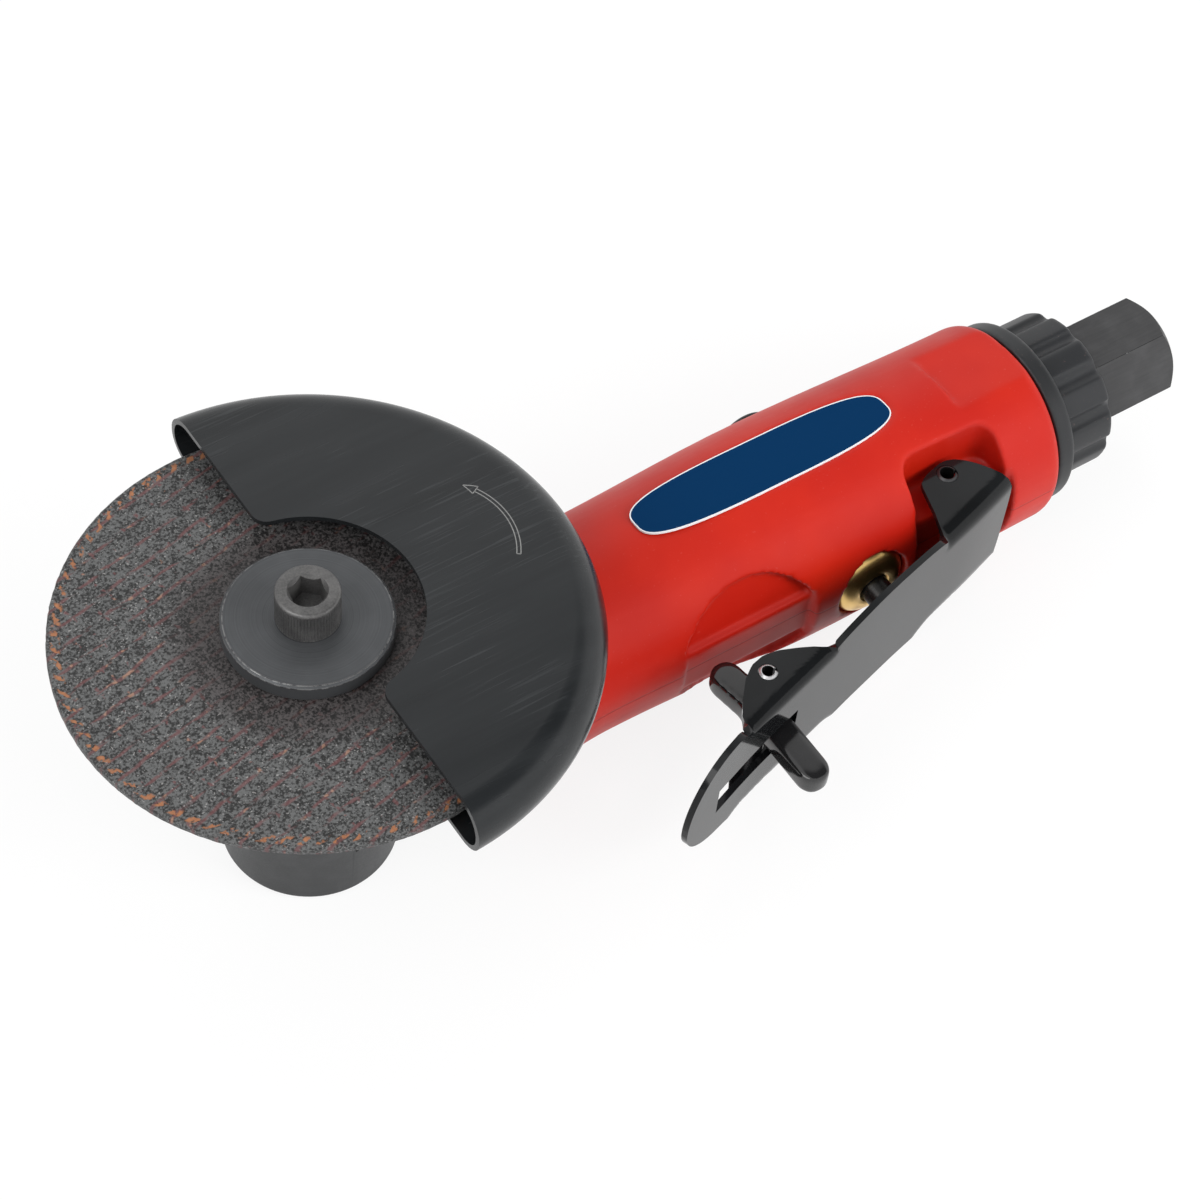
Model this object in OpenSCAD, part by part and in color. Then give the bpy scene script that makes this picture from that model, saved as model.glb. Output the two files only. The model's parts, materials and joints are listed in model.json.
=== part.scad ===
// Pneumatic cut off tool: right angle head, abrasive disc under a half guard,
// vane motor in a barrelled grip, throttle lever with a lock off catch, rear exhaust.
// Origin: where the spindle axis meets the flat base of the head.
// X runs along the grip to the air inlet, Z up the spindle to the clamp screw.

/* [Cutting disc and clamp] */
// Diameter of the cutting disc
disc_d = 75; // [72:0.5:77]
// Thickness of the cutting disc
disc_t = 1.8; // [1.2:0.1:2]
// Height of the upper face of the disc above the grip axis
disc_rise = 33.7; // [33.4:0.1:35.6]
// Diameter of the outer flange
outer_flange_d = 25.4; // [22:0.2:28]
// Thickness of the outer flange
outer_flange_t = 3; // [2:0.1:4]
// Diameter of the clamp screw head
screw_head_d = 9.6; // [9:0.1:11]
// Height of the clamp screw head
screw_head_h = 6.2; // [5.6:0.1:7]
// Width across the flats of the hex socket
key_af = 5; // [4:0.1:5.4]

/* [Guard] */
// Clear distance between the disc's rim and the inside of the guard
guard_rim_gap = 4.8; // [3:0.1:6]
// Sheet thickness of the guard
guard_sheet = 1.2; // [0.8:0.1:1.4]
// Height of the guard's top face above the disc
guard_rise = 4.5; // [3.6:0.1:6]
// Radius of the round notch over the clamp
guard_notch_r = 17; // [15:0.5:20]
// Distance of the guard's straight edge from the spindle axis
guard_edge_x = 1.7; // [1.5:0.1:4]

/* [Head] */
// Radius of the upright part of the head
head_r = 14; // [13.6:0.1:15]
// Radius of the lying barrel of the head
head_barrel_r = 16; // [15.6:0.1:17]

/* [Grip] */
// Height of the grip axis above the base
axis_h = 18.4; // [18.4:0.1:18.8]
// Distance from the spindle axis to the front of the grip
grip_front_x = 26; // [24:0.5:28]
// Distance from the spindle axis to the rear of the grip
grip_rear_x = 135.3; // [134.8:0.1:138]
// Radius at the grip's front
grip_front_r = 18.3; // [17.8:0.1:18.4]
// Radius at the waist behind the head
grip_waist_r = 17; // [16.8:0.1:17.6]
// Radius at the belly
grip_belly_r = 18.4; // [18.2:0.1:18.4]
// Radius at the rear
grip_rear_r = 17.6; // [17.2:0.1:18]

/* [Lever and catch] */
// Width over the lever's ears
lever_w = 21.6; // [21:0.1:22.4]
// Thickness of the lever sheet
lever_t = 1.6; // [1.4:0.1:2]
// Distance along the grip from the lever pin to the lever tip
lever_len = 71.8; // [71.4:0.1:72.4]
// Distance of the lever tip from the lever pin, away from the grip
lever_reach = 29.4; // [29:0.1:30]
// Thickness of the catch plate
catch_t = 4; // [3.4:0.1:4.2]

/* [Air inlet] */
// Width across the flats of the inlet hexagon
inlet_af = 17.2; // [16.8:0.1:18]
// Radius of the threaded inlet hole
inlet_bore_r = 5.7; // [5.2:0.1:6]
// Depth of the threaded inlet hole
inlet_bore_l = 13; // [11:0.5:14]
// Radius of the deflector's fluted collar
collar_r = 13.9; // [13.5:0.1:14.4]

/* [Hidden] */
$fn = 96;

// Overrun of every cut, and the clearances of the fits
overrun = 1;
running_gap = 0.05;
free_gap = 0.3;
ball_gap = 0.12;
arc_steps = 8;

// Bearing sizes: bore radius, outer radius, width
upper_bore_r = 5;
upper_outer_r = 11;
upper_w = 6;
lower_bore_r = 2.5;
lower_outer_r = 6.5;
lower_w = 4;
pinion_bore_r = 3;
pinion_outer_r = 8.5;
pinion_w = 6;
rotor_bore_r = 3;
rotor_outer_r = 7.5;
rotor_w = 5;
ball_count = 7;
ball_pitch_share = 0.2;
ball_land_share = 0.5;
ball_cage_share = 0.4;

// Places up the spindle
lower_z = 3;
base_edge_r = 1.2;
disc_top_h = axis_h + disc_rise;
disc_bottom_z = disc_top_h - disc_t;
inner_flange_t = 3;
inner_flange_z = disc_bottom_z - inner_flange_t;
inner_flange_r = 12.5;
inner_hub_r = 7;
guard_drop = 5.1;
guard_bottom_z = disc_top_h - guard_drop;
guard_top_z = disc_top_h + guard_rise;
head_top_z = guard_bottom_z;
head_flange_r = 17;
head_flange_t = 3.5;
head_recess_r = 13;
head_recess_t = 1;
retainer_l = 6;
upper_top_z = head_top_z - head_recess_t - retainer_l;
upper_z = upper_top_z - upper_w;
retainer_r = 12;
retainer_bore_r = 7.6;
retainer_slot_w = 2;
retainer_slot_t = 1.5;
retainer_slot_count = 4;
spindle_tip_gap = 0.4;
spindle_top_z = disc_top_h - spindle_tip_gap;
spindle_mid_r = 3.5;
screw_r = 3;
screw_tail_gap = 1.2;
screw_tail_z = upper_z + screw_tail_gap;
screw_top_z = disc_top_h + outer_flange_t + screw_head_h;
socket_t = 4.2;
head_edge = 0.5;
flange_edge = 0.4;
flange_relief_r = 8;
flange_relief_t = 0.5;

// Head cavities
gear_cavity_r = 10.75;
lower_well_r = 3.6;
lower_well_t = 1.4;
pinion_cavity_r = 8.3;
coupling_cavity_r = 9.5;
barrel_end_x = 20;
spigot_r = 14.8;
spigot_end_x = 38.5;
lock_ring_r = 17.8;
lock_notch_count = 18;
lock_notch_r = 1;

// Bevel gears: teeth, module and the shares of the module
gear_teeth = 16;
pinion_teeth = 12;
gear_module = 1.2;
gear_r = gear_teeth * gear_module / 2;
pinion_r = pinion_teeth * gear_module / 2;
cone_dist = sqrt(gear_r * gear_r + pinion_r * pinion_r);
face_share = 1 / 3;
addendum_share = 0.68;
dedendum_share = 1.05;
tip_half_share = 0.075;
pitch_half_share = 0.195;
root_half_share = 0.3;
gear_trim_r = 10.3;
gear_hub_r = 6;
gear_foot_z = 7.5;
pinion_hub_r = 4.6;
pinion_x = 17;
pinion_end_x = pinion_x + pinion_w;
coupling_r = 5.2;
coupling_end_x = 36;
nose_x = 29;
nose_af = 4.6;

// Motor
plate_t = 6;
plate_skin = 0.5;
motor_len = 36;
front_plate_x = spigot_end_x;
liner_x = front_plate_x + plate_t;
rear_plate_x = liner_x + motor_len;
gasket_x = rear_plate_x + plate_t;
gasket_t = 1;
gasket_bore_r = 11.4;
motor_end_x = gasket_x + gasket_t;
liner_bore_r = 11.9;
liner_offset = 1.1;
rotor_r = 10.5;
rotor_end_gap = 0.3;
vane_count = 5;
vane_t = 1.9;
vane_slot_t = 2;
vane_h = 5;
vane_slot_h = 5.6;
shaft_hole_r = 3.6;
dowel_r = 0.9;
dowel_place_r = 12.9;
dowel_bite = 2.5;
port_r = 1.5;
port_place_r = 9.6;
port_count = 4;
exhaust_r = 1.9;
exhaust_place_r = 13.2;
exhaust_start_x = 60;
exhaust_angle = 45;

// Grip details
waist_x = 46;
belly_x = 90;
grip_rear_edge = 2.2;
grip_front_edge = 0.8;
plate_front_x = 59.5;
plate_rear_x = 109.5;
plate_w = 11.2;
plate_power = 3.2;
plate_steps = 72;
plate_floor_h = 17.35;
plate_thick = 0.35;
plate_tilt = 5;
flat_l = 15.8;
flat_front_x = grip_rear_x - flat_l;
flat_h = 16.4;
flat_tilt = 5;
dent_x = 70.9;
dent_r = 13.8;
dent_drop = 1.4;
dent_rib_w = 9.2;
dent_floor_r = 16;
dent_tilt = 22;
rib_floor_r = 16.6;
rib_half_l = 12.4;
pocket_front_x = 104.6;
pocket_rear_x = 123;
pocket_y = -8.2;
pocket_edge_r = 3;
boss_w = 13.6;
web_slot_front_x = 104;
web_slot_rear_x = 124.5;
web_slot_y = -15.1;
web_slot_gap = 0.7;
web_slot_w = lever_w + 2 * web_slot_gap;

// Valve, along Y at valve_x
valve_x = 95.2;
valve_bore_r = 5;
bushing_head_r = 6.7;
bushing_seat_y = -14.6;
bushing_rim_y = -16.9;
bushing_top_y = -18.5;
bushing_dome_r = 4.4;
bushing_end_y = -6;
bushing_neck_y = -11;
bushing_wide_r = 3.7;
stem_r = 2.5;
stem_tip_edge = 0.6;
poppet_r = 4;
poppet_y = -4.3;
poppet_t = 2.2;
seal_t = 1.5;
seal_bore_r = 2.9;
valve_spring_y = -2;
plug_y = 9;
plug_head_r = 5.6;
plug_seat_y = 16.4;
plug_top_y = 19.1;
plug_edge = 0.5;
plug_slot_w = 1.2;
plug_slot_t = 0.9;
feed_y = -8.5;
feed_r = 2;
inlet_way_r = 4.5;

// Inlet and exhaust
inlet_thread_l = 17.3;
inlet_thread_x = grip_rear_x - inlet_thread_l;
inlet_thread_r = 8;
inlet_shank_r = 9;
deflector_gap = 0.25;
deflector_x = grip_rear_x + deflector_gap;
deflector_flange_r = 16.2;
flange_l = 3.6;
flange_rear_x = deflector_x + flange_l;
collar_l = 10.2;
deflector_rear_x = flange_rear_x + collar_l;
deflector_wall = 1.6;
collar_bore_r = 11.5;
collar_wall_x = deflector_rear_x - deflector_wall;
deflector_edge = 0.6;
flute_count = 12;
flute_r = 1.7;
flute_out = 0.8;
flute_place_r = collar_r + flute_out;
vent_r = 1.4;
vent_x = (flange_rear_x + deflector_rear_x) / 2;
vent_angles = [15, 45, 75];
hex_front_x = deflector_rear_x + free_gap;
hex_l = 17.8;
inlet_end_x = hex_front_x + hex_l;
hex_edge = 1.4;
screen_t = 1;
screen_hole_r = 0.7;
screen_hole_count = 6;
screen_hole_place_r = 2.6;
inlet_seal_t = 1.5;
inlet_seal_r = 9.7;
muffler_r = 11;
muffler_gap = 0.8;
muffler_front_x = deflector_x + muffler_gap;
muffler_rear_x = collar_wall_x - muffler_gap;

// Lever pin and lever shape: shares run from the pin to the tip
lever_pin_x = 113.3;
lever_pin_y = -11.6;
pin_r = 1.75;
pin_wall = 0.45;
pin_over = 0.3;
web_shares = [[-0.143, 0.177], [-0.01, 0.279], [0.478, 0.602], [0.763, 0.796], [1, 1]];
lever_waist_w = 20.2;
front_w = 21;
tip_r = 10.4;
width_x_shares = [-0.14, -0.115, -0.07, 0.1, 0.28, 0.4, 0.52, 0.82];
rear_end_share = 0.55;
rear_round_share = 0.86;
rear_ear_shares = [[0.111, 0.296], [0.093, 0.18], [0.078, 0.051], [0.07, -0.017],
  [0.047, -0.051], [0.017, -0.071], [-0.028, -0.068], [-0.065, -0.041], [-0.088, 0.01],
  [-0.1, 0.095], [-0.102, 0.224], [-0.003, 0.306], [0.11, 0.374]];
slot_w = 4.8;
slot_front_share = 0.895;
slot_edge_r = 0.8;
slot_rear_share = 0.57;

// Tip of the valve stem, set by the lever's web
stem_gap = 1.05;
web_rear = lever_point(web_shares[1]);
web_front = lever_point(web_shares[2]);
web_slope = (web_rear[1] - web_front[1]) / (web_rear[0] - web_front[0]);
stem_tip_y = web_rear[1] + web_slope * (valve_x - web_rear[0]) + lever_t / 2 + stem_gap;

// Catch
catch_pin_shares = [0.6734, 0.5776];
catch_x = lever_point(catch_pin_shares)[0];
catch_y = lever_point(catch_pin_shares)[1];
catch_pin_r = 1.5;
catch_tip_y = -18.35;
catch_tip_out = 1.3;
catch_end_y = -45;
catch_w = 5.4;
catch_hub_r = 3.2;
front_ear_r = 2.9;
front_ear_shares = [[-0.162, 0.045], [-0.129, -0.006], [-0.097, -0.044], [-0.052, -0.088],
  [-0.016, -0.101], [0.019, -0.081], [0.051, -0.027], [0.084, 0.062], [0.116, 0.164],
  [0.125, 0.246], [-0.133, 0.082], [-0.166, 0.059]];
catch_coil_r = 2.35;
catch_wire_r = 0.3;
catch_coil_turns = 3;
catch_coil_pitch = 1.1;
valve_coil_r = 2.9;
valve_wire_r = 0.35;
valve_coil_turns = 8;
coil_rings = 8;
coil_sides = 6;

// Guard details
guard_r = disc_d / 2 + guard_rim_gap + guard_sheet;
guard_top_edge = 4.4;
guard_bottom_edge = 4;
guard_hole_r = 13.3;
guard_corner_r = 2.6;
guard_screw_r = 1.1;
guard_screw_head_r = 1.6;
guard_screw_head_h = 0.8;
guard_screw_place_r = 15.1;
guard_screw_l = 3;
guard_screw_slot_w = 0.5;
guard_screw_slot_t = 0.4;
guard_screw_angles = [-66, -22, 22, 66];

function ease(t) = (1 - cos(180 * t)) / 2;
function arc(cx, cy, r, a0, a1) = [for (i = [0 : arc_steps])
  [cx + r * cos(a0 + (a1 - a0) * i / arc_steps), cy + r * sin(a0 + (a1 - a0) * i / arc_steps)]];
function run(r0, r1, x0, x1) = [for (i = [1 : arc_steps])
  [r0 + (r1 - r0) * ease(i / arc_steps), x0 + (x1 - x0) * i / arc_steps]];
function lever_point(s) = [lever_pin_x - lever_len * s[0], lever_pin_y - lever_reach * s[1]];

// Cylinders along the three axes
module along_z(z0, z1, r) {
  translate([0, 0, z0])
    cylinder(h = z1 - z0, r = r);
}

module along_x(x0, x1, r) {
  translate([x0, 0, axis_h])
    rotate([0, 90, 0])
      cylinder(h = x1 - x0, r = r);
}

module along_y(y0, y1, r) {
  translate([valve_x, y0, axis_h])
    rotate([-90, 0, 0])
      cylinder(h = y1 - y0, r = r);
}

// A turned piece on the grip axis; points are radius and distance
module turned_x(points) {
  translate([0, 0, axis_h])
    rotate([0, 90, 0])
      rotate_extrude()
        polygon(points);
}

module turned_z(points) {
  rotate_extrude()
    polygon(points);
}

// A turned piece on the valve axis; points are radius and distance along Y
module turned_y(points) {
  translate([valve_x, 0, axis_h])
    rotate([-90, 0, 0])
      rotate_extrude()
        polygon(points);
}

module box(low, high) {
  translate(low)
    cube(high - low);
}

// Plate in the XY plane at a height from the grip axis
module plate_at(z0, z1) {
  translate([0, 0, axis_h + z0])
    linear_extrude(height = z1 - z0)
      children();
}

module round_box_2d(low, high, r) {
  translate([low[0] + r, low[1]])
    square([high[0] - low[0] - 2 * r, high[1] - low[1]]);
  translate([low[0], low[1] + r])
    square([high[0] - low[0], high[1] - low[1] - 2 * r]);
  for (x = [low[0] + r, high[0] - r])
    for (y = [low[1] + r, high[1] - r])
      translate([x, y])
        circle(r = r);
}

// An oval with full ends, for the label
module oval_2d(x0, x1, w) {
  half_l = (x1 - x0) / 2;
  translate([x0 + half_l, 0])
    polygon([for (i = [0 : plate_steps - 1])
      let (c = cos(360 * i / plate_steps), s = sin(360 * i / plate_steps))
      [half_l * sign(c) * pow(abs(c), 2 / plate_power), w / 2 * sign(s) * pow(abs(s), 2 / plate_power)]]);
}

// Ball bearing pieces about the local Z axis, standing on z = 0
function pitch_r(bore, outer) = (bore + outer) / 2;
function ball_r(bore, outer) = ball_pitch_share * pitch_r(bore, outer);

module ball_groove(bore, outer, w) {
  translate([0, 0, w / 2])
    rotate_extrude()
      translate([pitch_r(bore, outer), 0])
        circle(r = ball_r(bore, outer) + ball_gap);
}

module outer_ring(bore, outer, w) {
  land = pitch_r(bore, outer) + ball_land_share * ball_r(bore, outer);
  difference() {
    cylinder(h = w, r = outer);
    translate([0, 0, -overrun])
      cylinder(h = w + 2 * overrun, r = land);
    ball_groove(bore, outer, w);
  }
}

module inner_ring(bore, outer, w) {
  land = pitch_r(bore, outer) - ball_land_share * ball_r(bore, outer);
  difference() {
    cylinder(h = w, r = land);
    translate([0, 0, -overrun])
      cylinder(h = w + 2 * overrun, r = bore);
    ball_groove(bore, outer, w);
  }
}

module ball_set(bore, outer, w) {
  mid = pitch_r(bore, outer);
  ball = ball_r(bore, outer);
  half = ball * ball_cage_share;
  translate([0, 0, w / 2]) {
    for (i = [0 : ball_count - 1])
      rotate([0, 0, 360 * i / ball_count])
        translate([mid, 0, 0])
          sphere(r = ball);
    difference() {
      translate([0, 0, -half])
        cylinder(h = 2 * half, r = mid + half);
      translate([0, 0, -half - overrun])
        cylinder(h = 2 * half + 2 * overrun, r = mid - half);
    }
  }
}

module at_spindle(z) {
  translate([0, 0, z])
    children();
}

module at_shaft(x) {
  translate([x, 0, axis_h])
    rotate([0, 90, 0])
      children();
}

// Straight bevel teeth whose cone tip is the local origin; the large end is at height z0
module bevel_teeth(teeth, r, z0, phase) {
  lean = atan(r / z0);
  tip_r = z0 * tan(lean + atan(addendum_share * gear_module / cone_dist));
  root_r = z0 * tan(lean - atan(dedendum_share * gear_module / cone_dist));
  step = 360 / teeth;
  parts = [[root_r, -root_half_share], [r, -pitch_half_share], [tip_r, -tip_half_share],
    [tip_r, tip_half_share], [r, pitch_half_share], [root_r, root_half_share]];
  translate([0, 0, z0])
    mirror([0, 0, 1])
      linear_extrude(height = z0 * face_share, scale = 1 - face_share)
        polygon([for (i = [0 : teeth - 1]) for (p = parts)
          [p[0] * cos(phase + (i + p[1]) * step), p[0] * sin(phase + (i + p[1]) * step)]]);
}

// One unbroken coil of round wire about the local Z axis
module coil(r, wire, turns, pitch) {
  rings = turns * coil_rings;
  points = [for (i = [0 : rings]) for (j = [0 : coil_sides - 1])
    let (a = 360 * i / coil_rings, b = 360 * j / coil_sides)
    [(r + wire * cos(b)) * cos(a), (r + wire * cos(b)) * sin(a),
      pitch * i / coil_rings + wire * sin(b)]];
  sides = [for (i = [0 : rings - 1]) for (j = [0 : coil_sides - 1])
    let (k = (j + 1) % coil_sides)
    [i * coil_sides + j, (i + 1) * coil_sides + j, (i + 1) * coil_sides + k, i * coil_sides + k]];
  start = [[for (j = [0 : coil_sides - 1]) j]];
  end = [[for (j = [0 : coil_sides - 1]) rings * coil_sides + coil_sides - 1 - j]];
  polyhedron(points = points, faces = concat(sides, start, end));
}

// Grip: barrelled shell with the motor bore, valve bore, air ways and recesses
module grip_body() {
  turned_x(concat(
    [[0, grip_front_x], [grip_front_r - grip_front_edge, grip_front_x],
      [grip_front_r, grip_front_x + grip_front_edge]],
    run(grip_front_r, grip_waist_r, grip_front_x + grip_front_edge, waist_x),
    run(grip_waist_r, grip_belly_r, waist_x, belly_x),
    run(grip_belly_r, grip_rear_r, belly_x, grip_rear_x - grip_rear_edge),
    arc(grip_rear_r - grip_rear_edge, grip_rear_x - grip_rear_edge, grip_rear_edge, 0, 90),
    [[0, grip_rear_x]]));
}

module dent_cut() {
  intersection() {
    translate([dent_x, 0, axis_h - dent_drop])
      rotate([90, 0, 0])
        cylinder(h = grip_belly_r + overrun, r = dent_r);
    box([dent_x - dent_r, -grip_belly_r - overrun, axis_h + dent_rib_w / 2],
      [dent_x + dent_r, 0, axis_h + grip_belly_r]);
    translate([dent_x, 0, axis_h])
      rotate([-dent_tilt, 0, 0])
        box([-dent_r, -grip_belly_r - overrun, -grip_belly_r],
          [dent_r, -dent_floor_r, grip_belly_r]);
  }
}

module lever_pocket_cut() {
  plate_at(boss_w / 2, grip_belly_r + overrun)
    round_box_2d([pocket_front_x, -grip_belly_r - pocket_edge_r - overrun],
      [pocket_rear_x, pocket_y], pocket_edge_r);
}

module both_sides() {
  children();
  translate([0, 0, 2 * axis_h])
    mirror([0, 0, 1])
      children();
}

// Turn about the grip axis, away from the lever side
module turned_about_grip(angle) {
  translate([0, 0, axis_h])
    rotate([-angle, 0, 0])
      translate([0, 0, -axis_h])
        children();
}

module grip_cuts() {
  along_x(grip_front_x - overrun, motor_end_x, spigot_r);
  along_y(-grip_belly_r - overrun, bushing_seat_y, bushing_head_r);
  along_y(bushing_seat_y - overrun, plug_seat_y + overrun, valve_bore_r);
  along_y(plug_seat_y, grip_belly_r + overrun, plug_head_r);
  translate([0, feed_y, 0])
    along_x(motor_end_x - overrun, valve_x, feed_r);
  along_x(valve_x, inlet_thread_x + overrun, inlet_way_r);
  along_x(inlet_thread_x, grip_rear_x + overrun, inlet_thread_r);
  along_x(grip_rear_x - inlet_seal_t, grip_rear_x + overrun, inlet_seal_r);
  for (a = [exhaust_angle, -exhaust_angle])
    translate([0, exhaust_place_r * cos(a), exhaust_place_r * sin(a)])
      along_x(exhaust_start_x, grip_rear_x + overrun, exhaust_r);
  translate([lever_pin_x, lever_pin_y, axis_h - grip_belly_r])
    cylinder(h = 2 * grip_belly_r, r = pin_r);
  both_sides()
    lever_pocket_cut();
  box([web_slot_front_x, -grip_belly_r - overrun, axis_h - web_slot_w / 2],
    [web_slot_rear_x, web_slot_y, axis_h + web_slot_w / 2]);
  both_sides()
    dent_cut();
  box([dent_x - rib_half_l, -grip_belly_r - overrun, axis_h - dent_rib_w / 2],
    [dent_x + rib_half_l, -rib_floor_r, axis_h + dent_rib_w / 2]);
  turned_about_grip(plate_tilt)
    plate_at(plate_floor_h, grip_belly_r + overrun)
      oval_2d(plate_front_x, plate_rear_x, plate_w);
  for (a = [0, 180])
    turned_about_grip(flat_tilt + a)
      box([flat_front_x, -grip_belly_r, axis_h + flat_h],
        [grip_rear_x + overrun, grip_belly_r, axis_h + grip_belly_r + overrun]);
}

module grip_housing() {
  color([0.72, 0.05, 0.07])
    difference() {
      grip_body();
      grip_cuts();
    }
}

module angle_head() {
  color([0.09, 0.09, 0.1])
    difference() {
      union() {
        turned_z(concat([[0, 0]], arc(head_r - base_edge_r, base_edge_r, base_edge_r, -90, 0),
          [[head_r, head_top_z - head_flange_t - (head_flange_r - head_r)],
            [head_flange_r, head_top_z - head_flange_t], [head_flange_r, head_top_z],
            [0, head_top_z]]));
        along_x(0, barrel_end_x, head_barrel_r);
        along_x(0, spigot_end_x, spigot_r);
      }
      along_z(lower_z + lower_w, upper_z, gear_cavity_r);
      along_z(lower_z, upper_z, lower_outer_r);
      along_z(lower_z - lower_well_t, upper_z, lower_well_r);
      along_z(upper_z, head_top_z + overrun, upper_outer_r);
      along_z(upper_top_z, head_top_z + overrun, retainer_r);
      along_z(head_top_z - head_recess_t, head_top_z + overrun, head_recess_r);
      along_x(0, pinion_end_x, pinion_cavity_r);
      along_x(pinion_x, spigot_end_x + overrun, pinion_outer_r);
      along_x(pinion_end_x, spigot_end_x + overrun, coupling_cavity_r);
      for (a = guard_screw_angles)
        rotate([0, 0, a])
          translate([guard_screw_place_r, 0, 0])
            along_z(head_top_z - guard_screw_l, head_top_z + overrun, guard_screw_r);
    }
}

module head_lock_ring() {
  color([0.2, 0.2, 0.21])
    difference() {
      along_x(barrel_end_x, grip_front_x, lock_ring_r);
      along_x(barrel_end_x - overrun, grip_front_x + overrun, spigot_r);
      for (i = [0 : lock_notch_count - 1])
        translate([0, 0, axis_h])
          rotate([360 * i / lock_notch_count, 0, 0])
            translate([barrel_end_x - overrun, 0, lock_ring_r])
              rotate([0, 90, 0])
                cylinder(h = grip_front_x - barrel_end_x + 2 * overrun, r = lock_notch_r);
    }
}

module bearing_retainer() {
  top = head_top_z - head_recess_t;
  color([0.35, 0.35, 0.37])
    difference() {
      along_z(upper_top_z, top, retainer_r);
      along_z(upper_top_z - overrun, top + overrun, retainer_bore_r);
      for (i = [0 : retainer_slot_count - 1])
        rotate([0, 0, 360 * i / retainer_slot_count])
          box([0, -retainer_slot_w / 2, top - retainer_slot_t],
            [retainer_r + overrun, retainer_slot_w / 2, top + overrun]);
    }
}

module guard_profile() {
  inner_r = guard_r - guard_sheet;
  low = guard_bottom_z + guard_sheet;
  high = guard_top_z - guard_sheet;
  polygon(concat(
    [[guard_hole_r, guard_bottom_z]],
    arc(guard_r - guard_bottom_edge, guard_bottom_z + guard_bottom_edge, guard_bottom_edge, -90, 0),
    arc(guard_r - guard_top_edge, guard_top_z - guard_top_edge, guard_top_edge, 0, 90),
    [[guard_notch_r, guard_top_z], [guard_notch_r, high]],
    arc(guard_r - guard_top_edge, guard_top_z - guard_top_edge, guard_top_edge - guard_sheet, 90, 0),
    arc(guard_r - guard_bottom_edge, guard_bottom_z + guard_bottom_edge,
      guard_bottom_edge - guard_sheet, 0, -90),
    [[guard_hole_r, low]]));
}

module guard_corner_cut() {
  centre_x = guard_edge_x + guard_corner_r;
  reach = guard_notch_r + guard_corner_r;
  centre_y = sqrt(reach * reach - centre_x * centre_x);
  touch = guard_notch_r / reach;
  translate([0, 0, guard_top_z - guard_sheet - overrun])
    linear_extrude(height = guard_sheet + 2 * overrun)
      difference() {
        polygon([[guard_edge_x - overrun, guard_notch_r - overrun * 2],
          [centre_x * touch, centre_y * touch], [centre_x, centre_y],
          [guard_edge_x - overrun, centre_y]]);
        translate([centre_x, centre_y])
          circle(r = guard_corner_r);
      }
}

module wheel_guard() {
  color([0.08, 0.08, 0.09])
    difference() {
      intersection() {
        rotate_extrude()
          guard_profile();
        box([guard_edge_x, -guard_r - overrun, guard_bottom_z - overrun],
          [guard_r + overrun, guard_r + overrun, guard_top_z + overrun]);
      }
      guard_corner_cut();
      mirror([0, 1, 0])
        guard_corner_cut();
      for (a = guard_screw_angles)
        rotate([0, 0, a])
          translate([guard_screw_place_r, 0, 0])
            along_z(guard_bottom_z - overrun, guard_bottom_z + guard_sheet + overrun, guard_screw_r);
    }
}

module guard_screws() {
  seat = guard_bottom_z + guard_sheet;
  top = seat + guard_screw_head_h;
  color([0.25, 0.25, 0.26])
    for (a = guard_screw_angles)
      rotate([0, 0, a])
        translate([guard_screw_place_r, 0, 0])
          difference() {
            union() {
              along_z(head_top_z - guard_screw_l, seat, guard_screw_r);
              along_z(seat, top, guard_screw_head_r);
            }
            box([-guard_screw_head_r - overrun, -guard_screw_slot_w / 2, top - guard_screw_slot_t],
              [guard_screw_head_r + overrun, guard_screw_slot_w / 2, top + overrun]);
          }
}

module name_plate() {
  color([0.05, 0.1, 0.35])
    turned_about_grip(plate_tilt)
      plate_at(plate_floor_h, plate_floor_h + plate_thick)
        oval_2d(plate_front_x + free_gap, plate_rear_x - free_gap, plate_w - 2 * free_gap);
}

module motor_cylinder() {
  color([0.55, 0.55, 0.57])
    difference() {
      along_x(liner_x, rear_plate_x, spigot_r);
      translate([0, 0, liner_offset])
        along_x(liner_x - overrun, rear_plate_x + overrun, liner_bore_r);
      translate([0, 0, -dowel_place_r])
        along_x(liner_x - overrun, rear_plate_x + overrun, dowel_r);
      for (a = [exhaust_angle, -exhaust_angle])
        for (i = [1 : port_count])
          translate([liner_x + motor_len * i / (port_count + 1), 0, axis_h])
            rotate([a - 90, 0, 0])
              cylinder(h = spigot_r + overrun, r = port_r);
    }
}

module end_plate_cuts(x) {
  translate([0, 0, -dowel_place_r])
    along_x(x - overrun, x + plate_t + overrun, dowel_r);
  along_x(x - overrun, x + plate_t + overrun, shaft_hole_r);
}

module front_end_plate() {
  color([0.5, 0.5, 0.52])
    difference() {
      along_x(front_plate_x, liner_x, spigot_r);
      end_plate_cuts(front_plate_x);
      along_x(front_plate_x - overrun, liner_x - plate_skin, rotor_outer_r);
    }
}

module rear_end_plate() {
  color([0.5, 0.5, 0.52])
    difference() {
      along_x(rear_plate_x, gasket_x, spigot_r);
      end_plate_cuts(rear_plate_x);
      along_x(rear_plate_x + plate_skin, gasket_x + overrun, rotor_outer_r);
      translate([0, -port_place_r, 0])
        along_x(rear_plate_x - overrun, gasket_x + overrun, port_r);
    }
}

module motor_gasket() {
  color([0.25, 0.2, 0.15])
    difference() {
      along_x(gasket_x, motor_end_x, spigot_r);
      along_x(gasket_x - overrun, motor_end_x + overrun, gasket_bore_r);
    }
}

module cylinder_dowel() {
  color([0.7, 0.7, 0.72])
    translate([0, 0, -dowel_place_r])
      along_x(liner_x - dowel_bite, rear_plate_x + dowel_bite, dowel_r);
}

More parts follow.
